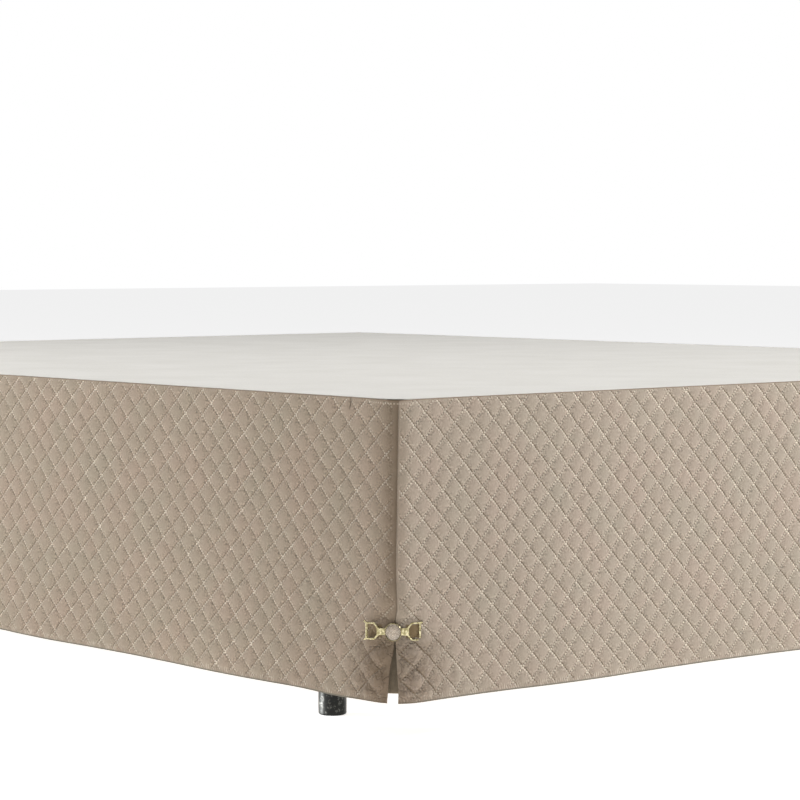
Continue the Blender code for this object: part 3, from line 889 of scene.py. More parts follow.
BUCKLE_FRAME = (
    (7.0, 0.0),
    (7.0, 3.9),
    (10.5, 3.9),
    (15.6, 4.2),
    (17.2, 5.0),
    (20.4, 8.9),
    (21.8, 9.9),
    (23.4, 10.2),
    (32.8, 10.3),
    (35.0, 11.2),
    (36.2, 11.0),
    (35.8, 9.7),
    (34.2, 8.9),
    (33.5, 8.0),
    (33.5, 0.0),
)
BUCKLE_WINDOW = (
    (31.8, 0.0),
    (31.8, 8.6),
    (23.8, 8.6),
    (22.4, 8.2),
    (19.6, 5.0),
    (18.8, 3.6),
    (18.6, 0.0),
)
BUCKLE_BEADS = (
    ((32.7, 0, 0.95), (1.3, 3.0, 1.1)),
    ((35.5, 10.5, 1.1), (0.9, 0.9, 1.1)),
    ((35.5, -10.5, 1.1), (0.9, 0.9, 1.1)),
)
BEZEL_WIDE = 9.6
BEZEL_TALL = 10.4
BEZEL_DROP = 0.5
BEZEL_RIM = 0.75
BUCKLE_EDGE = 0.5
BUCKLE_THICK = 1.9
BUCKLE_GRAIN = 0.27


def mirrored_outline(points):
    """The upper half of an outline that starts and ends on the X axis, closed by its lower half."""
    lower = [(x, -y) for x, y in reversed(points) if y > 0]
    return [*points, *lower]


def flat_casting(name, outlines):
    """A flat casting with soft edges, of outlines with windows, as a mesh."""
    places = [[(x * MM, y * MM, 0) for x, y in outline] for outline in outlines]
    casting = curve_mesh(
        name,
        places,
        True,
        dimensions="2D",
        fill_mode="BOTH",
        bevel_depth=BUCKLE_EDGE * MM,
        bevel_resolution=3,
        offset=-BUCKLE_EDGE * MM,
        extrude=(BUCKLE_THICK / 2 - BUCKLE_EDGE) * MM,
    )
    casting.location.z = BUCKLE_THICK / 2 * MM
    settle(casting)
    return casting


def make_bezel():
    """The oval cup of a buckle: a turned disc with a rounded rim and a sunk floor."""
    size = {"vertices": 72, "radius": 1, "depth": 3.2 * MM}
    place = (0, -BEZEL_DROP * MM, 1.6 * MM)
    bezel = new_piece(bpy.ops.mesh.primitive_cylinder_add, location=place, **size)
    bezel.scale = (BEZEL_WIDE * MM, BEZEL_TALL * MM, 1)
    settle(bezel)
    with editing(bezel, lambda face: face.normal.z > 0.99):
        bpy.ops.mesh.inset(thickness=BEZEL_RIM * MM)
        bpy.ops.mesh.extrude_region_move(TRANSFORM_OT_translate={"value": (0, 0, -1.9 * MM)})
    bevel_edges(bezel, lambda edge: edge.calc_face_angle(0) > 1.0, 0.25 * MM, 3)
    return bezel


def make_bead(place, half_size, segments=24, rings=14):
    """A smooth oval bead, its place and half size in millimetres."""
    add_ball = bpy.ops.mesh.primitive_uv_sphere_add
    bead = new_piece(add_ball, segments=segments, ring_count=rings, radius=1)
    bead.location = [way * MM for way in place]
    bead.scale = [half * MM for half in half_size]
    settle(bead)
    return bead


def out_of_corner(side, degrees):
    turn = math.radians(degrees)
    return Vector((side * math.sin(turn), -math.cos(turn), 0))


def buckle_place(side):
    """The frame of a buckle: X along it, Y up, Z out of the corner, origin on its back's middle."""
    off = stand_off(BUCKLE_HEIGHT)
    radius = section_at("foot_radius", BUCKLE_HEIGHT) * MM
    corner = Vector((side * (HALF_WIDTH + off), FOOT_SIDE_Y - off, HEM_HEIGHT + BUCKLE_HEIGHT))
    centre = corner + Vector((-side * radius, radius, 0))
    up = Vector((0, 0, 1))
    face = out_of_corner(side, 45 + BUCKLE_TURN - BUCKLE_SLANT)
    place = Matrix((up.cross(face), up, face)).transposed().to_4x4()
    out = out_of_corner(side, 45 + BUCKLE_TURN)
    place.translation = centre + out * (radius + CLOTH / 2 + BUCKLE_GAP)
    return place


def bow(thing, side):
    """Bends a flat piece round the corner, its arm on the foot panel drawn in a little."""
    place = buckle_place(side)
    for vertex in thing.data.vertices:
        along = vertex.co.x
        if along * side < -ARM_START:
            along -= FOOT_ARM_SHORTER * (along + side * ARM_START)
        angle = along / BUCKLE_BOW
        reach = BUCKLE_BOW + vertex.co.z
        bent = Vector((reach * math.sin(angle), vertex.co.y, reach * math.cos(angle) - BUCKLE_BOW))
        vertex.co = place @ bent
    thing.data.update()


def copy_of(thing, name):
    twin = thing.copy()
    twin.data = thing.data.copy()
    twin.name = twin.data.name = name
    bpy.context.scene.collection.objects.link(twin)
    return twin


def make_buckle(gold):
    """A flat buckle: a cast plate with two open frames, its cup, its beads and its curled tips."""
    parts = []
    for way in (1, -1):
        halves = [mirrored_outline(outline) for outline in (BUCKLE_FRAME, BUCKLE_WINDOW)]
        outlines = [[(way * x, y) for x, y in half] for half in halves]
        parts.append(flat_casting("end_frame", outlines))
        for (x, y, z), half_size in BUCKLE_BEADS:
            parts.append(make_bead((way * x, y, z), half_size))
    parts.append(make_bezel())
    buckle = join("buckle_blank", parts)
    apply_modifier(buckle, "REMESH", mode="VOXEL", voxel_size=BUCKLE_GRAIN * MM)
    apply_modifier(buckle, "SMOOTH", factor=0.5, iterations=4)
    finish(buckle, gold, 60)
    smooth_all(buckle.data)
    return buckle


STONE_PITCH = 1.45
STONE_ROW = 0.866
STONE_COLUMNS = 8
STONE_RADIUS = 0.70
STONE_LEAN = 0.16
STONE_TURN = 0.78
BED_WIDE = BEZEL_WIDE - BEZEL_RIM
BED_TALL = BEZEL_TALL - BEZEL_RIM
BED_MARGIN = 0.5
BED_EDGE = 2.1
BED_CROWN = 1.15


def make_stone():
    """One small cut stone: a sloping crown and a flat table."""
    crown = {"radius1": STONE_RADIUS * MM, "radius2": 0.58 * STONE_RADIUS * MM, "depth": 0.42 * MM}
    stone = new_piece(bpy.ops.mesh.primitive_cone_add, vertices=8, location=(0, 0, 0), **crown)
    with editing(stone, lambda face: face.normal.z < -0.99):
        bpy.ops.mesh.extrude_region_move(TRANSFORM_OT_translate={"value": (0, 0, -0.4 * MM)})
    bevel_edges(stone, lambda edge: edge.calc_length() < 0.36 * MM, 0.07 * MM, 1)
    return stone


def make_stones(material, bed_material):
    """The crowned bed of a buckle's cup with its rows of small stones."""
    bed = make_bead((0, -BEZEL_DROP, 1.85), (BED_WIDE, BED_TALL, 1.2), 48, 24)
    finish(bed, bed_material, 60)
    first = make_stone()
    random = np.random.default_rng(21)
    stones = []
    rows = int(BED_TALL / (STONE_PITCH * STONE_ROW)) + 1
    for row in range(-rows, rows + 1):
        y = row * STONE_PITCH * STONE_ROW
        for column in range(-STONE_COLUMNS, STONE_COLUMNS + 1):
            x = (column + 0.5 * (row % 2)) * STONE_PITCH
            if (x / (BED_WIDE - BED_MARGIN)) ** 2 + (y / (BED_TALL - BED_MARGIN)) ** 2 > 1:
                continue
            stone = copy_of(first, "cut_stone")
            lean = random.uniform(-STONE_LEAN, STONE_LEAN, 2)
            slope_x = 2 * BED_CROWN * x / BED_WIDE**2
            slope_y = 2 * BED_CROWN * y / BED_TALL**2
            turn = random.uniform(0, STONE_TURN)
            stone.rotation_euler = (lean[0] - slope_y, lean[1] + slope_x, turn)
            z = BED_EDGE + BED_CROWN * (1 - (x / BED_WIDE) ** 2 - (y / BED_TALL) ** 2)
            stone.location = (x * MM, (y - BEZEL_DROP) * MM, z * MM)
            stones.append(stone)
    bpy.data.objects.remove(first, do_unlink=True)
    cut = join("cut_stones", stones)
    settle(cut)
    cut.data.materials.clear()
    cut.data.materials.append(material)
    return bed, cut


# Materials


def maths(operation):
    """A method of Value that adds a Math node."""

    def method(self, *others):
        inputs = dict(enumerate((self, *others)))
        return self.paint.add("Math", {"operation": operation}, inputs)

    return method


class Value:
    """What comes out of a node. An expression on values adds its Math nodes."""

    def __init__(self, paint, socket):
        self.paint = paint
        self.socket = socket

    __add__ = __radd__ = maths("ADD")
    __sub__ = maths("SUBTRACT")
    __mul__ = __rmul__ = maths("MULTIPLY")
    __truediv__ = maths("DIVIDE")
    __abs__ = maths("ABSOLUTE")
    fraction = maths("FRACT")
    floor = maths("FLOOR")
    sine = maths("SINE")
    least = maths("MINIMUM")
    most = maths("MAXIMUM")

    def __rsub__(self, other):
        return self * -1 + other

    def out(self, name):
        return Value(self.paint, self.socket.node.outputs[name])

    def from_nearest(self):
        """Distance to the nearest whole number."""
        return abs((self + 0.5).fraction() - 0.5)

    def ramp(self, start, end):
        """0 at start, 1 at end, smooth between, also where start is the greater."""
        settings = {"interpolation_type": "SMOOTHSTEP"}
        low, high, first, last = (start, end, 0, 1) if start < end else (end, start, 1, 0)
        inputs = {"Value": self, "From Min": low, "From Max": high, "To Min": first, "To Max": last}
        return self.paint.add("MapRange", settings, inputs)


class Paint:
    """A material, its nodes and what feeds its surface."""

    def __init__(self, name, colour, roughness, metallic=0.0, **constants):
        self.material = bpy.data.materials.new(name)
        self.material.use_nodes = True
        self.tree = self.material.node_tree
        self.surface = self.tree.nodes["Principled BSDF"]
        constants = {"roughness": roughness, "metallic": metallic, **constants}
        for key, value in constants.items():
            self.surface.inputs[key.replace("_", " ").title()].default_value = value
        self.surface.inputs["Base Color"].default_value = (*colour, 1)
        self.material.diffuse_color = (*colour, 1)

    def add(self, kind, settings=None, inputs=None):
        """Adds a node: its type, its settings, then the values or links of its sockets."""
        node = self.tree.nodes.new("ShaderNode" + kind)
        for key, value in (settings or {}).items():
            setattr(node, key, value)
        for key, value in (inputs or {}).items():
            if isinstance(value, Value):
                self.tree.links.new(value.socket, node.inputs[key])
            elif isinstance(value, tuple) and len(node.inputs[key].default_value) > len(value):
                node.inputs[key].default_value = (*value, 1)
            else:
                node.inputs[key].default_value = value
        return Value(self, node.outputs[0])

    def split(self, vector):
        parts = self.add("SeparateXYZ", None, {0: vector})
        return [parts.out(axis) for axis in "XYZ"]

    def flat_place(self):
        """The place on the flat cloth, and its metres along and up."""
        place = self.add("UVMap", {"uv_map": "cloth"})
        return place, *self.split(place)[:2]

    def object_place(self):
        return self.add("TexCoord").out("Object")

    def cloth_marks(self):
        """The numbers of the falling and rising lines, and the distance from the nearer end."""
        return self.split(self.add("Attribute", {"attribute_name": "marks"}).out("Vector"))

    def noise(self, place, size, detail=2.0, rough=0.5):
        """A soft uneven pattern whose blotches are about one size across, in metres."""
        inputs = {"Vector": place, "Scale": 1 / size, "Detail": detail, "Roughness": rough}
        return self.add("TexNoise", {"noise_dimensions": "3D"}, inputs)

    def chance(self, x, y):
        """A different number from 0 to 1 for each pair of numbers."""
        pair = self.add("CombineXYZ", None, {0: x, 1: y})
        return self.add("TexWhiteNoise", {"noise_dimensions": "3D"}, {0: pair})

    def grains(self, place, size):
        """A cell for each grain, about one size across, in metres."""
        return self.add("TexVoronoi", {"feature": "F1"}, {"Vector": place, "Scale": 1 / size})

    def blend(self, share, first, second, how="MIX"):
        """Colours mixed, multiplied or otherwise blended."""
        settings = {"data_type": "RGBA", "blend_type": how}
        return self.add("Mix", settings, {0: share, 6: first, 7: second}).out(2)

    def finish(self, colour, roughness=None, height=None):
        """The material, with what varies over it: its colour, its roughness, its height in metres."""
        links, inputs = self.tree.links, self.surface.inputs
        links.new(colour.socket, inputs["Base Color"])
        if roughness is not None:
            links.new(roughness.socket, inputs["Roughness"])
        if height is not None:
            bump = self.add("Bump", None, {"Height": height, "Distance": 1.0, "Strength": 1.0})
            links.new(bump.socket, inputs["Normal"])
        return self.material


# Colours laid over the quilted cloth: its thread, and painted shade
THREAD = (0.84, 0.745, 0.605)
HOLE_AND_CREASE_SHADE = (0.13, 0.095, 0.06)
SHADE = (0.168, 0.113, 0.066)
HEM_FOLD_SHADE = (0.11, 0.108, 0.082)
IN_FRAME_SHADE = (0.165, 0.108, 0.041)

# Stitches along a diamond's side
STITCHES = 6

# How a quilting line looks: how strong its thread is, how far it breaks up into stitches, how strong
# its painted shadow and the painted shade in its needle holes are, and which side of it is dark
SeamLook = namedtuple("SeamLook", "thread dotted shadow needle dark_side")

# How a drop looks: its tints and its lines; how bright their thread is everywhere and in clusters;
# the bare edge at the slit, and the painted shade beside it (reach, depth); the painted shade on the
# cloth seen in the buckle's frame (start, stop, shade); a pucker of the top edge (place, depth of its
# dent and its painted shade) and its row of stitches; and how far along the panel an end still counts
# as a slit
ClothLook = namedtuple(
    "ClothLook",
    "quilt warm cool falling rising plain clusters slit_band slit_shade window pucker row slit_reach",
)
FOOT_LOOK = ClothLook(
    quilt=FOOT_QUILT,
    warm=(0.392, 0.311, 0.246),
    cool=(0.366, 0.313, 0.244),
    falling=SeamLook(0.72, 0.50, 1.0, 0.8, 1),
    rising=SeamLook(0.80, 1.0, 0.45, 0.88, 1),
    plain=0.75,
    clusters=0.3,
    slit_band=1.5 * MM,
    slit_shade=(22 * MM, 0.30),
    window=(12.0 * MM, 29.0 * MM, 0.92),
    pucker=(128 * MM, 0.25),
    row=0.15,
    slit_reach=10.0,
)
SIDE_LOOK = ClothLook(
    quilt=SIDE_QUILT,
    warm=(0.366, 0.280, 0.210),
    cool=(0.336, 0.280, 0.207),
    falling=SeamLook(0.76, 0.85, 0.70, 0.45, 1),
    rising=SeamLook(0.56, 1.0, 0.14, 0.35, -1),
    plain=0.36,
    clusters=0.55,
    slit_band=6.5 * MM,
    slit_shade=(56 * MM, 0.59),
    window=(15.0 * MM, 36.0 * MM, 0.70),
    pucker=(80 * MM, 0.8),
    row=0.35,
    slit_reach=1.0,
)


def near_to(value, centre, half_width, soft):
    """1 within a band round a centre, fading to 0 over a soft edge."""
    return abs(value - centre).ramp(half_width + soft, half_width)


def seam(paint, line, across, run, look):
    """Thread, needle dots, shadow and sunk depth of a quilting line, from places on the cloth."""
    count = run * STITCHES
    step = abs(count.fraction() - 0.5)
    luck = paint.chance(count.floor(), (line + 0.5).floor())
    on_stitch = step.ramp(0.38, 0.20)
    at_needle = step.ramp(0.28, 0.46)

    def band(offset, half_width, soft):
        return near_to(across, offset * MM * look.dark_side, half_width * MM, soft * MM)

    thread = band(-0.35, 0.50, 0.80) * (on_stitch * look.dotted + (1 - look.dotted))
    thread = thread * (0.50 + 0.70 * luck) * look.thread
    dot = band(0.25, 0.55, 0.70) * at_needle * (1.15 - 0.5 * luck) * look.needle
    shadow = band(1.05, 0.35, 0.8) * look.shadow * (0.55 + 0.45 * at_needle)
    sunk = band(0.35, 0.1, 1.8) * (0.35 + 0.65 * look.shadow)
    return thread, dot, shadow, sunk


def quilt_stitches(paint, place, look, falling, rising):
    """Thread, dots, shadow and sunk depth of all quilting lines, and how bright the thread is."""
    pitch = 1 / math.hypot(1 / look.quilt.wide, 1 / look.quilt.tall)
    patches = paint.noise(place, 19 * MM).ramp(0.36, 0.62)
    crossed = paint.chance((falling + 0.5).floor(), (rising + 0.5).floor()).ramp(0.25, 0.95)
    beside = falling.from_nearest().most(rising.from_nearest()).ramp(0.34, 0.20)
    bright = look.plain + patches * (1.0 - look.plain) + beside * crossed * look.clusters
    lines = []
    for line, run, seam_look in ((falling, rising, look.falling), (rising, falling, look.rising)):
        across = ((line + 0.5).fraction() - 0.5) * pitch
        lines.append(seam(paint, line, across, run, seam_look))
    return *(first.most(second) for first, second in zip(*lines)), bright


def hem_strokes(paint, place, u, h):
    """The slanting stitches of the hem, and the gaps between them, which are painted as shade."""
    lean = h * 0.45 + paint.noise(place, 9 * MM, 1.0) * (2.5 * MM)
    hem = h.ramp(HEM_STROKES, HEM_BAND) * h.ramp(1.2 * MM, 2.2 * MM)
    stroke = ((u + lean) / (3.6 * MM)).fraction() - 0.5
    patchy = paint.noise(place, 10 * MM).ramp(0.42, 0.66)
    strokes = near_to(stroke, 0, 0.10, 0.16) * hem * patchy
    gaps = abs(stroke).ramp(0.34, 0.46) * hem * (1 - patchy * 0.7)
    return strokes, gaps


def quilted_cloth(name, look):
    """Quilted cloth: weave, tinted diamonds, creases, needle-dotted stitches, hem, seams and painted
    shade.
    """
    paint = Paint(name, look.warm, 0.86, sheen_weight=0.08, sheen_roughness=0.5)
    place, u, h = paint.flat_place()
    falling, rising, from_end = paint.cloth_marks()
    wobble = (paint.noise(place, 11 * MM, 1.0) - 0.5) * 0.05
    falling, rising = falling + wobble, rising - wobble
    from_slit = from_end + u.ramp(look.slit_reach, look.slit_reach + 0.1)
    from_top = DROP - h

    quilted = h.ramp(HEM_BAND - 1.5 * MM, HEM_BAND + 0.5 * MM)
    quilted = quilted * from_top.ramp(TOP_SEAM - 1 * MM, TOP_SEAM)
    quilted = quilted * from_slit.ramp(look.slit_band - 1 * MM, look.slit_band + 2.5 * MM)
    quilted = quilted * from_end.ramp(SLIT_HEM - 1 * MM, SLIT_HEM)
    thread, dot, shadow, sunk, bright = quilt_stitches(paint, place, look, falling, rising)
    thread = (thread * quilted * bright).least(1.0)
    dot = dot * quilted * (0.6 + 0.4 * bright)
    shadow, sunk = shadow * quilted, sunk * quilted
    stroke, stroke_gap = hem_strokes(paint, place, u, h)

    turn = 2 * math.pi / (1.2 * MM)
    weave = (u * turn).sine() * (h * turn).sine()
    upright = paint.add("Mapping", None, {0: place, "Scale": (1.0, 0.3, 1.0)})
    slub = paint.noise(upright, 1.7 * MM, 2.0, 0.6)
    mottle = paint.noise(place, 3.4 * MM, 3.0, 0.65)
    cloud = paint.noise(place, 70 * MM, 3.0)
    tint = paint.chance(falling.floor(), rising.floor())
    close = falling.from_nearest().least(rising.from_nearest()).ramp(0.42, 0.08)
    speckle = (paint.noise(place, 2.6 * MM, 2.0, 0.6) - 0.5) * close * quilted
    colour = paint.blend(tint * 0.35 + cloud.ramp(0.3, 0.7) * 0.65, look.warm, look.cool)
    shade = 0.66 + 0.26 * mottle + 0.42 * slub + 0.04 * weave + 2.4 * speckle
    grey = paint.add("CombineColor", None, {0: shade, 1: shade, 2: shade})
    colour = paint.blend(1.0, colour, grey, "MULTIPLY")

    reach, depth = look.slit_shade
    # painted shade beside the slit, uneven with the mottle
    beside_slit_shade = from_slit.ramp(reach, 0.0) * (depth - 0.15 + 0.3 * mottle)
    # where painted shade lies under the buckle, near the slit
    low = h.ramp(90 * MM, 62 * MM) * from_slit.ramp(86 * MM, 34 * MM)
    blotchy_shade = paint.noise(place, 7 * MM, 4.0, 0.6).ramp(0.34, 0.66)
    wrinkle = abs(paint.noise(place, 15 * MM) - 0.5).ramp(0.035, 0.0)
    # where the cloth seen in the buckle's frame gets painted shade
    start, stop, dimmed = look.window
    window = near_to(from_slit, (start + stop) / 2, (stop - start) / 2 - 1 * MM, 2.5 * MM)
    window = window * near_to(h, BUCKLE_HEIGHT, 6.5 * MM, 2.5 * MM)
    seam_step = abs((u / (3.9 * MM)).fraction() - 0.5)
    row = abs(from_top - 4.0 * MM).ramp(1.1 * MM, 0.6 * MM)
    row = row * from_slit.ramp(70 * MM, 15 * MM) * look.row
    pucker_place, pucker_depth = look.pucker
    pucker = near_to(u, pucker_place, 0.5 * MM, 0.9 * MM) * h.ramp(334 * MM, 341 * MM)

    layers = (
        # painted shade in the quilting grooves, and the painted shadow beside each line
        (sunk * 0.18, SHADE),
        (shadow * 0.85, SHADE),
        (thread, THREAD),
        # painted shade in the needle holes
        (dot * 0.92, HOLE_AND_CREASE_SHADE),
        (stroke * 0.45, THREAD),
        # painted shade in the gaps between the hem's stitches
        (stroke_gap * 0.35, SHADE),
        # painted shade along the hem's folded edge
        (h.ramp(2.8 * MM, 1.2 * MM) * 0.80, HEM_FOLD_SHADE),
        # painted shade along the top edge
        (from_top.ramp(1.4 * MM, 0.6 * MM) * 0.70, SHADE),
        # painted shade growing towards the slit's corner
        (from_slit.ramp(0.40, 0.0) * 0.13, SHADE),
        # painted shade beside the slit
        (beside_slit_shade, SHADE),
        # painted shade under the buckle: blotchy, along wrinkles and in the quilting grooves
        (low * (0.16 + 0.34 * blotchy_shade + 0.08 * wrinkle), SHADE),
        (low * sunk * 0.55, SHADE),
        # painted shade on the cloth seen in the buckle's frames
        (window * dimmed, IN_FRAME_SHADE),
        # the top row of stitches, with painted shade in its needle holes
        (row * seam_step.ramp(0.34, 0.24), THREAD),
        (row * seam_step.ramp(0.36, 0.46), HOLE_AND_CREASE_SHADE),
        # painted shade in the pucker of the top edge
        (pucker * pucker_depth, HOLE_AND_CREASE_SHADE),
    )
    for share, tone in layers:
        colour = paint.blend(share, colour, tone)

    height = weave * 0.00005 + mottle * 0.00032 + slub * 0.00020
    height = height + (thread + stroke * 0.6) * 0.00030 - dot * 0.0004
    height = height - sunk * 0.00080 - stroke_gap * 0.00025 + speckle * 0.0010
    height = height - low * wrinkle * 0.0008 - pucker * (pucker_depth * 0.0008)
    return paint.finish(colour, 0.90 - 0.10 * mottle - 0.14 * thread, height)


def plain_cloth(name, dark, light, thread_pitch, on_flat):
    """Plain-woven cloth with uneven threads and a little wear."""
    paint = Paint(name, light, 0.9, sheen_weight=0.1)
    if on_flat:
        place, u, h = paint.flat_place()
    else:
        place = paint.object_place()
        x, y, z = paint.split(place)
        u, h = x + y, z + y * 0.5
    turn = 2 * math.pi / thread_pitch
    bend_thread = paint.noise(place, 14 * MM, 1.0) * 1.3
    weave = (u * turn + bend_thread).sine() * (h * turn + bend_thread).sine()
    mottle = paint.noise(place, 5 * MM, 3.0, 0.6)
    cloud = paint.noise(place, 110 * MM, 3.0)
    share = (0.45 * cloud + 0.35 * mottle + 0.10 * weave + 0.10).ramp(0.2, 0.8)
    colour = paint.blend(share, dark, light)
    height = weave * (0.06 * thread_pitch) + mottle * 0.00015
    return paint.finish(colour, 0.93 - 0.08 * mottle, height)


def dark_chrome():
    """Dark polished metal, rubbed and speckled."""
    paint = Paint("foot_metal_polished", (0.05, 0.05, 0.05), 0.25, 1.0)
    place = paint.object_place()
    smear = paint.noise(place, 9 * MM, 4.0, 0.6)
    speck = paint.noise(place, 4.5 * MM, 3.0, 0.65)
    stretched = paint.add("Mapping", None, {0: place, "Scale": (1, 1, 0.08)})
    rub = paint.noise(stretched, 1.2 * MM)
    colour = paint.blend(speck.ramp(0.50, 0.74), (0.024, 0.025, 0.024), (0.13, 0.13, 0.12))
    roughness = 0.26 + 0.10 * smear.ramp(0.45, 0.75) + 0.05 * rub
    return paint.finish(colour, roughness, smear * 0.00005 + speck * 0.00003 + rub * 0.00001)


def pale_gold():
    """Pale gold plate, polished, a little uneven from the casting."""
    paint = Paint("gold_plate", (0.83, 0.72, 0.42), 0.2, 1.0)
    place = paint.object_place()
    cast = paint.noise(place, 2.6 * MM, 3.0)
    worn = paint.noise(place, 2.8 * MM, 3.0, 0.65)
    colour = paint.blend(worn.ramp(0.38, 0.68), (0.31, 0.265, 0.13), (0.71, 0.64, 0.41))
    roughness = 0.16 + 0.20 * cast.ramp(0.35, 0.7)
    return paint.finish(colour, roughness, cast * 0.00012)


def pale_stone():
    """Pale grey cut stone, each a little lighter or darker than the next."""
    paint = Paint("stone_cut", (0.62, 0.58, 0.57), 0.12, 0.0, coat_roughness=0.05)
    place = paint.object_place()
    cut = paint.grains(place, 1.4 * MM)
    tone = paint.add("SeparateColor", None, {0: cut.out("Color")}).out("Red")
    fire = paint.noise(place, 0.7 * MM)
    colour = paint.blend(tone.ramp(0.1, 0.9), (0.54, 0.44, 0.34), (0.87, 0.76, 0.61))
    colour = paint.blend(fire.ramp(0.5, 0.75) * 0.5, colour, (0.40, 0.34, 0.33))
    return paint.finish(colour, 0.08 + 0.15 * fire)


def stone_bed_metal():
    """Dull grey metal between the stones, with tiny grains."""
    paint = Paint("stone_bed", (0.42, 0.40, 0.38), 0.4, 0.8)
    place = paint.object_place()
    near = paint.grains(place, 0.8 * MM).out("Distance").ramp(0.5, 0.1)
    colour = paint.blend(near, (0.24, 0.20, 0.17), (0.66, 0.58, 0.50))
    return paint.finish(colour, 0.35 + 0.2 * near, near * 0.0001)


def pale_floor():
    paint = Paint("studio_floor", (0.86, 0.86, 0.86), 0.8)
    paint.surface.inputs["Emission Color"].default_value = (1, 1, 1, 1)
    paint.surface.inputs["Emission Strength"].default_value = 0.75
    place = paint.object_place()
    grain = paint.noise(place, 60 * MM)
    colour = paint.blend(grain, (0.85, 0.85, 0.85), (0.88, 0.88, 0.88))
    return paint.finish(colour)


# Studio


def add_lamp(name, kind, place, target, power, **settings):
    """A lamp that faces a target."""
    light = bpy.data.lights.new(name, kind)
    light.energy = power
    for key, value in settings.items():
        setattr(light, key, value)
    lamp = new_object(name, light)
    lamp.location = place
    lamp.rotation_euler = (Vector(target) - Vector(place)).to_track_quat("-Z", "Y").to_euler()


def add_panel_light(name, place, target, size, power):
    width, height = size
    add_lamp(name, "AREA", place, target, power, shape="RECTANGLE", size=width, size_y=height)


def set_lights():
    """Soft lights round the bed, and a narrow low one that only reaches a foot, under the hem."""
    add_panel_light("key", (3.0, -3.2, 2.2), (0.3, FOOT_SIDE_Y, 0.25), (0.9, 0.9), 132)
    add_panel_light("overhead", (-1.2, -1.0, 6.0), (-0.4, -0.2, 0), (3.0, 3.0), 200)
    add_panel_light("left_strip", (-2.1, 1.6, 1.1), (-HALF_WIDTH, FOOT_SIDE_Y, 0.08), (0.4, 0.8), 25)
    add_panel_light("fill", (-4.6, 0.8, 3.0), (-HALF_WIDTH, 0.6, 0.25), (2.0, 2.0), 9)
    beam = {"spot_size": math.radians(3.6), "spot_blend": 0.1, "shadow_soft_size": 0.015}
    add_lamp("foot_glint", "SPOT", (-2.4, 1.0, 0.05), (-0.716, -0.755, -0.045), 3000, **beam)


def set_floor():
    add_grid = bpy.ops.mesh.primitive_grid_add
    floor = new_piece(add_grid, x_subdivisions=2, y_subdivisions=2, size=FLOOR_SIZE)
    floor.name = floor.data.name = "studio_floor"
    floor.data.materials.append(pale_floor())


def set_world():
    """White where the camera sees it, and dim as a light."""
    world = bpy.data.worlds.new("studio")
    bpy.context.scene.world = world
    world.use_nodes = True
    nodes, links = world.node_tree.nodes, world.node_tree.links
    dim = nodes["Background"]
    seen = nodes.new("ShaderNodeBackground")
    for background in (dim, seen):
        background.inputs["Color"].default_value = (1, 1, 1, 1)
    dim.inputs["Strength"].default_value = WORLD_STRENGTH
    path = nodes.new("ShaderNodeLightPath")
    mix = nodes.new("ShaderNodeMixShader")
    for number, source in enumerate((path.outputs["Is Camera Ray"], dim.outputs[0], seen.outputs[0])):
        links.new(source, mix.inputs[number])
    links.new(mix.outputs[0], nodes["World Output"].inputs["Surface"])


def set_camera():
    lens = bpy.data.cameras.new("camera")
    lens.lens = CAMERA_LENS
    lens.sensor_width = 36
    lens.clip_end = 200
    camera = new_object("camera", lens)
    camera.location = CAMERA_PLACE
    camera.rotation_euler = (math.radians(90 - CAMERA_PITCH), 0, -math.radians(CAMERA_YAW))
    bpy.context.scene.camera = camera
    bpy.context.scene.view_settings.view_transform = "Standard"


# Pieces in their places


def place_piece(piece, slot, *nodes):
    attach(piece, "root")
    if nodes:
        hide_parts(*nodes)


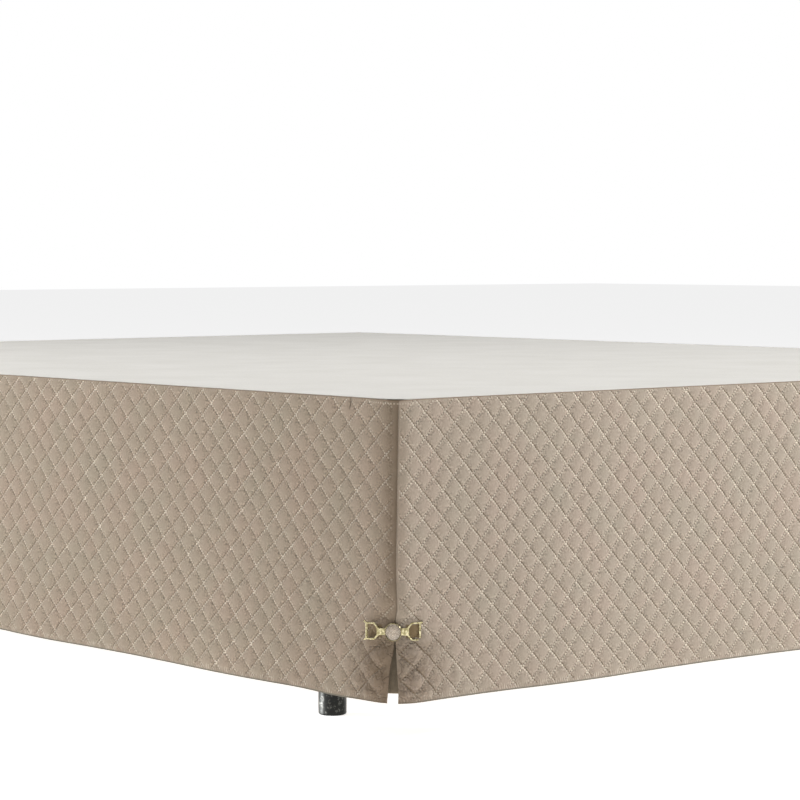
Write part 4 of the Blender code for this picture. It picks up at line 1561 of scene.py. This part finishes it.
def add_base():
    cover = plain_cloth("base_cloth", (0.42, 0.38, 0.32), (0.56, 0.51, 0.44), 1.6 * MM, False)
    piping_cloth = plain_cloth("piping", (0.36, 0.32, 0.27), (0.46, 0.42, 0.36), 1.0 * MM, False)
    base, piping = make_base(cover, piping_cloth)
    place_piece(base, "base_cover", "bed_base")
    place_piece(piping, "base_cover")
    metal = dark_chrome()
    for number in range(1, 7):
        place_piece(make_foot(number, metal), "foot_metal", f"foot_{number}")


def add_cloths():
    foot_quilting = quilted_cloth("quilted_foot", FOOT_LOOK)
    side_quilting = quilted_cloth("quilted_side", SIDE_LOOK)
    lining = plain_cloth("lining", (0.50, 0.45, 0.36), (0.60, 0.54, 0.45), 1.0 * MM, True)
    # the flap's cloth is the drops' taupe darkened: painted shade for where it hangs behind the slit
    flap_cloth = plain_cloth("flap_painted_shade", (0.160, 0.125, 0.082), (0.27, 0.218, 0.152), 1.1 * MM, True)
    deck_cloth = plain_cloth("deck_plain", (0.70, 0.68, 0.63), (0.82, 0.80, 0.76), 1.2 * MM, True)

    deck = make_deck((deck_cloth, lining))
    place_piece(deck, "deck_cloth", "deck_cloth")

    panel = make_foot_panel("foot_drop", (foot_quilting, lining))
    place_piece(panel, "quilted_cloth", "foot_panel")
    for name, side in SIDES:
        panel = make_side_panel(f"side_drop_{name}", side, (side_quilting, lining))
        place_piece(panel, "quilted_cloth", f"side_panel_{name}")
        flap = make_flap(f"flap_{name}", side, (flap_cloth, flap_cloth))
        place_piece(flap, "flap_cloth", f"corner_flap_{name}")


def add_buckles():
    """The flat blanks are made once, and a copy of each is bowed round each corner."""
    buckle = make_buckle(pale_gold())
    bed, stones = make_stones(pale_stone(), stone_bed_metal())
    blanks = (
        (buckle, "cast_buckle", "gold", ["buckle"]),
        (bed, "stone_bed", "stone", ["stone_plate"]),
        (stones, "cut_stones", "stone", []),
    )
    for side_name, side in SIDES:
        for blank, name, slot, nodes in blanks:
            piece = copy_of(blank, f"{name}_{side_name}")
            bow(piece, side)
            place_piece(piece, slot, *(f"{node}_{side_name}" for node in nodes))
    for blank, *_ in blanks:
        bpy.data.objects.remove(blank, do_unlink=True)


def main():
    add_base()
    add_cloths()
    add_buckles()
    set_floor()
    set_world()
    set_lights()
    set_camera()


main()
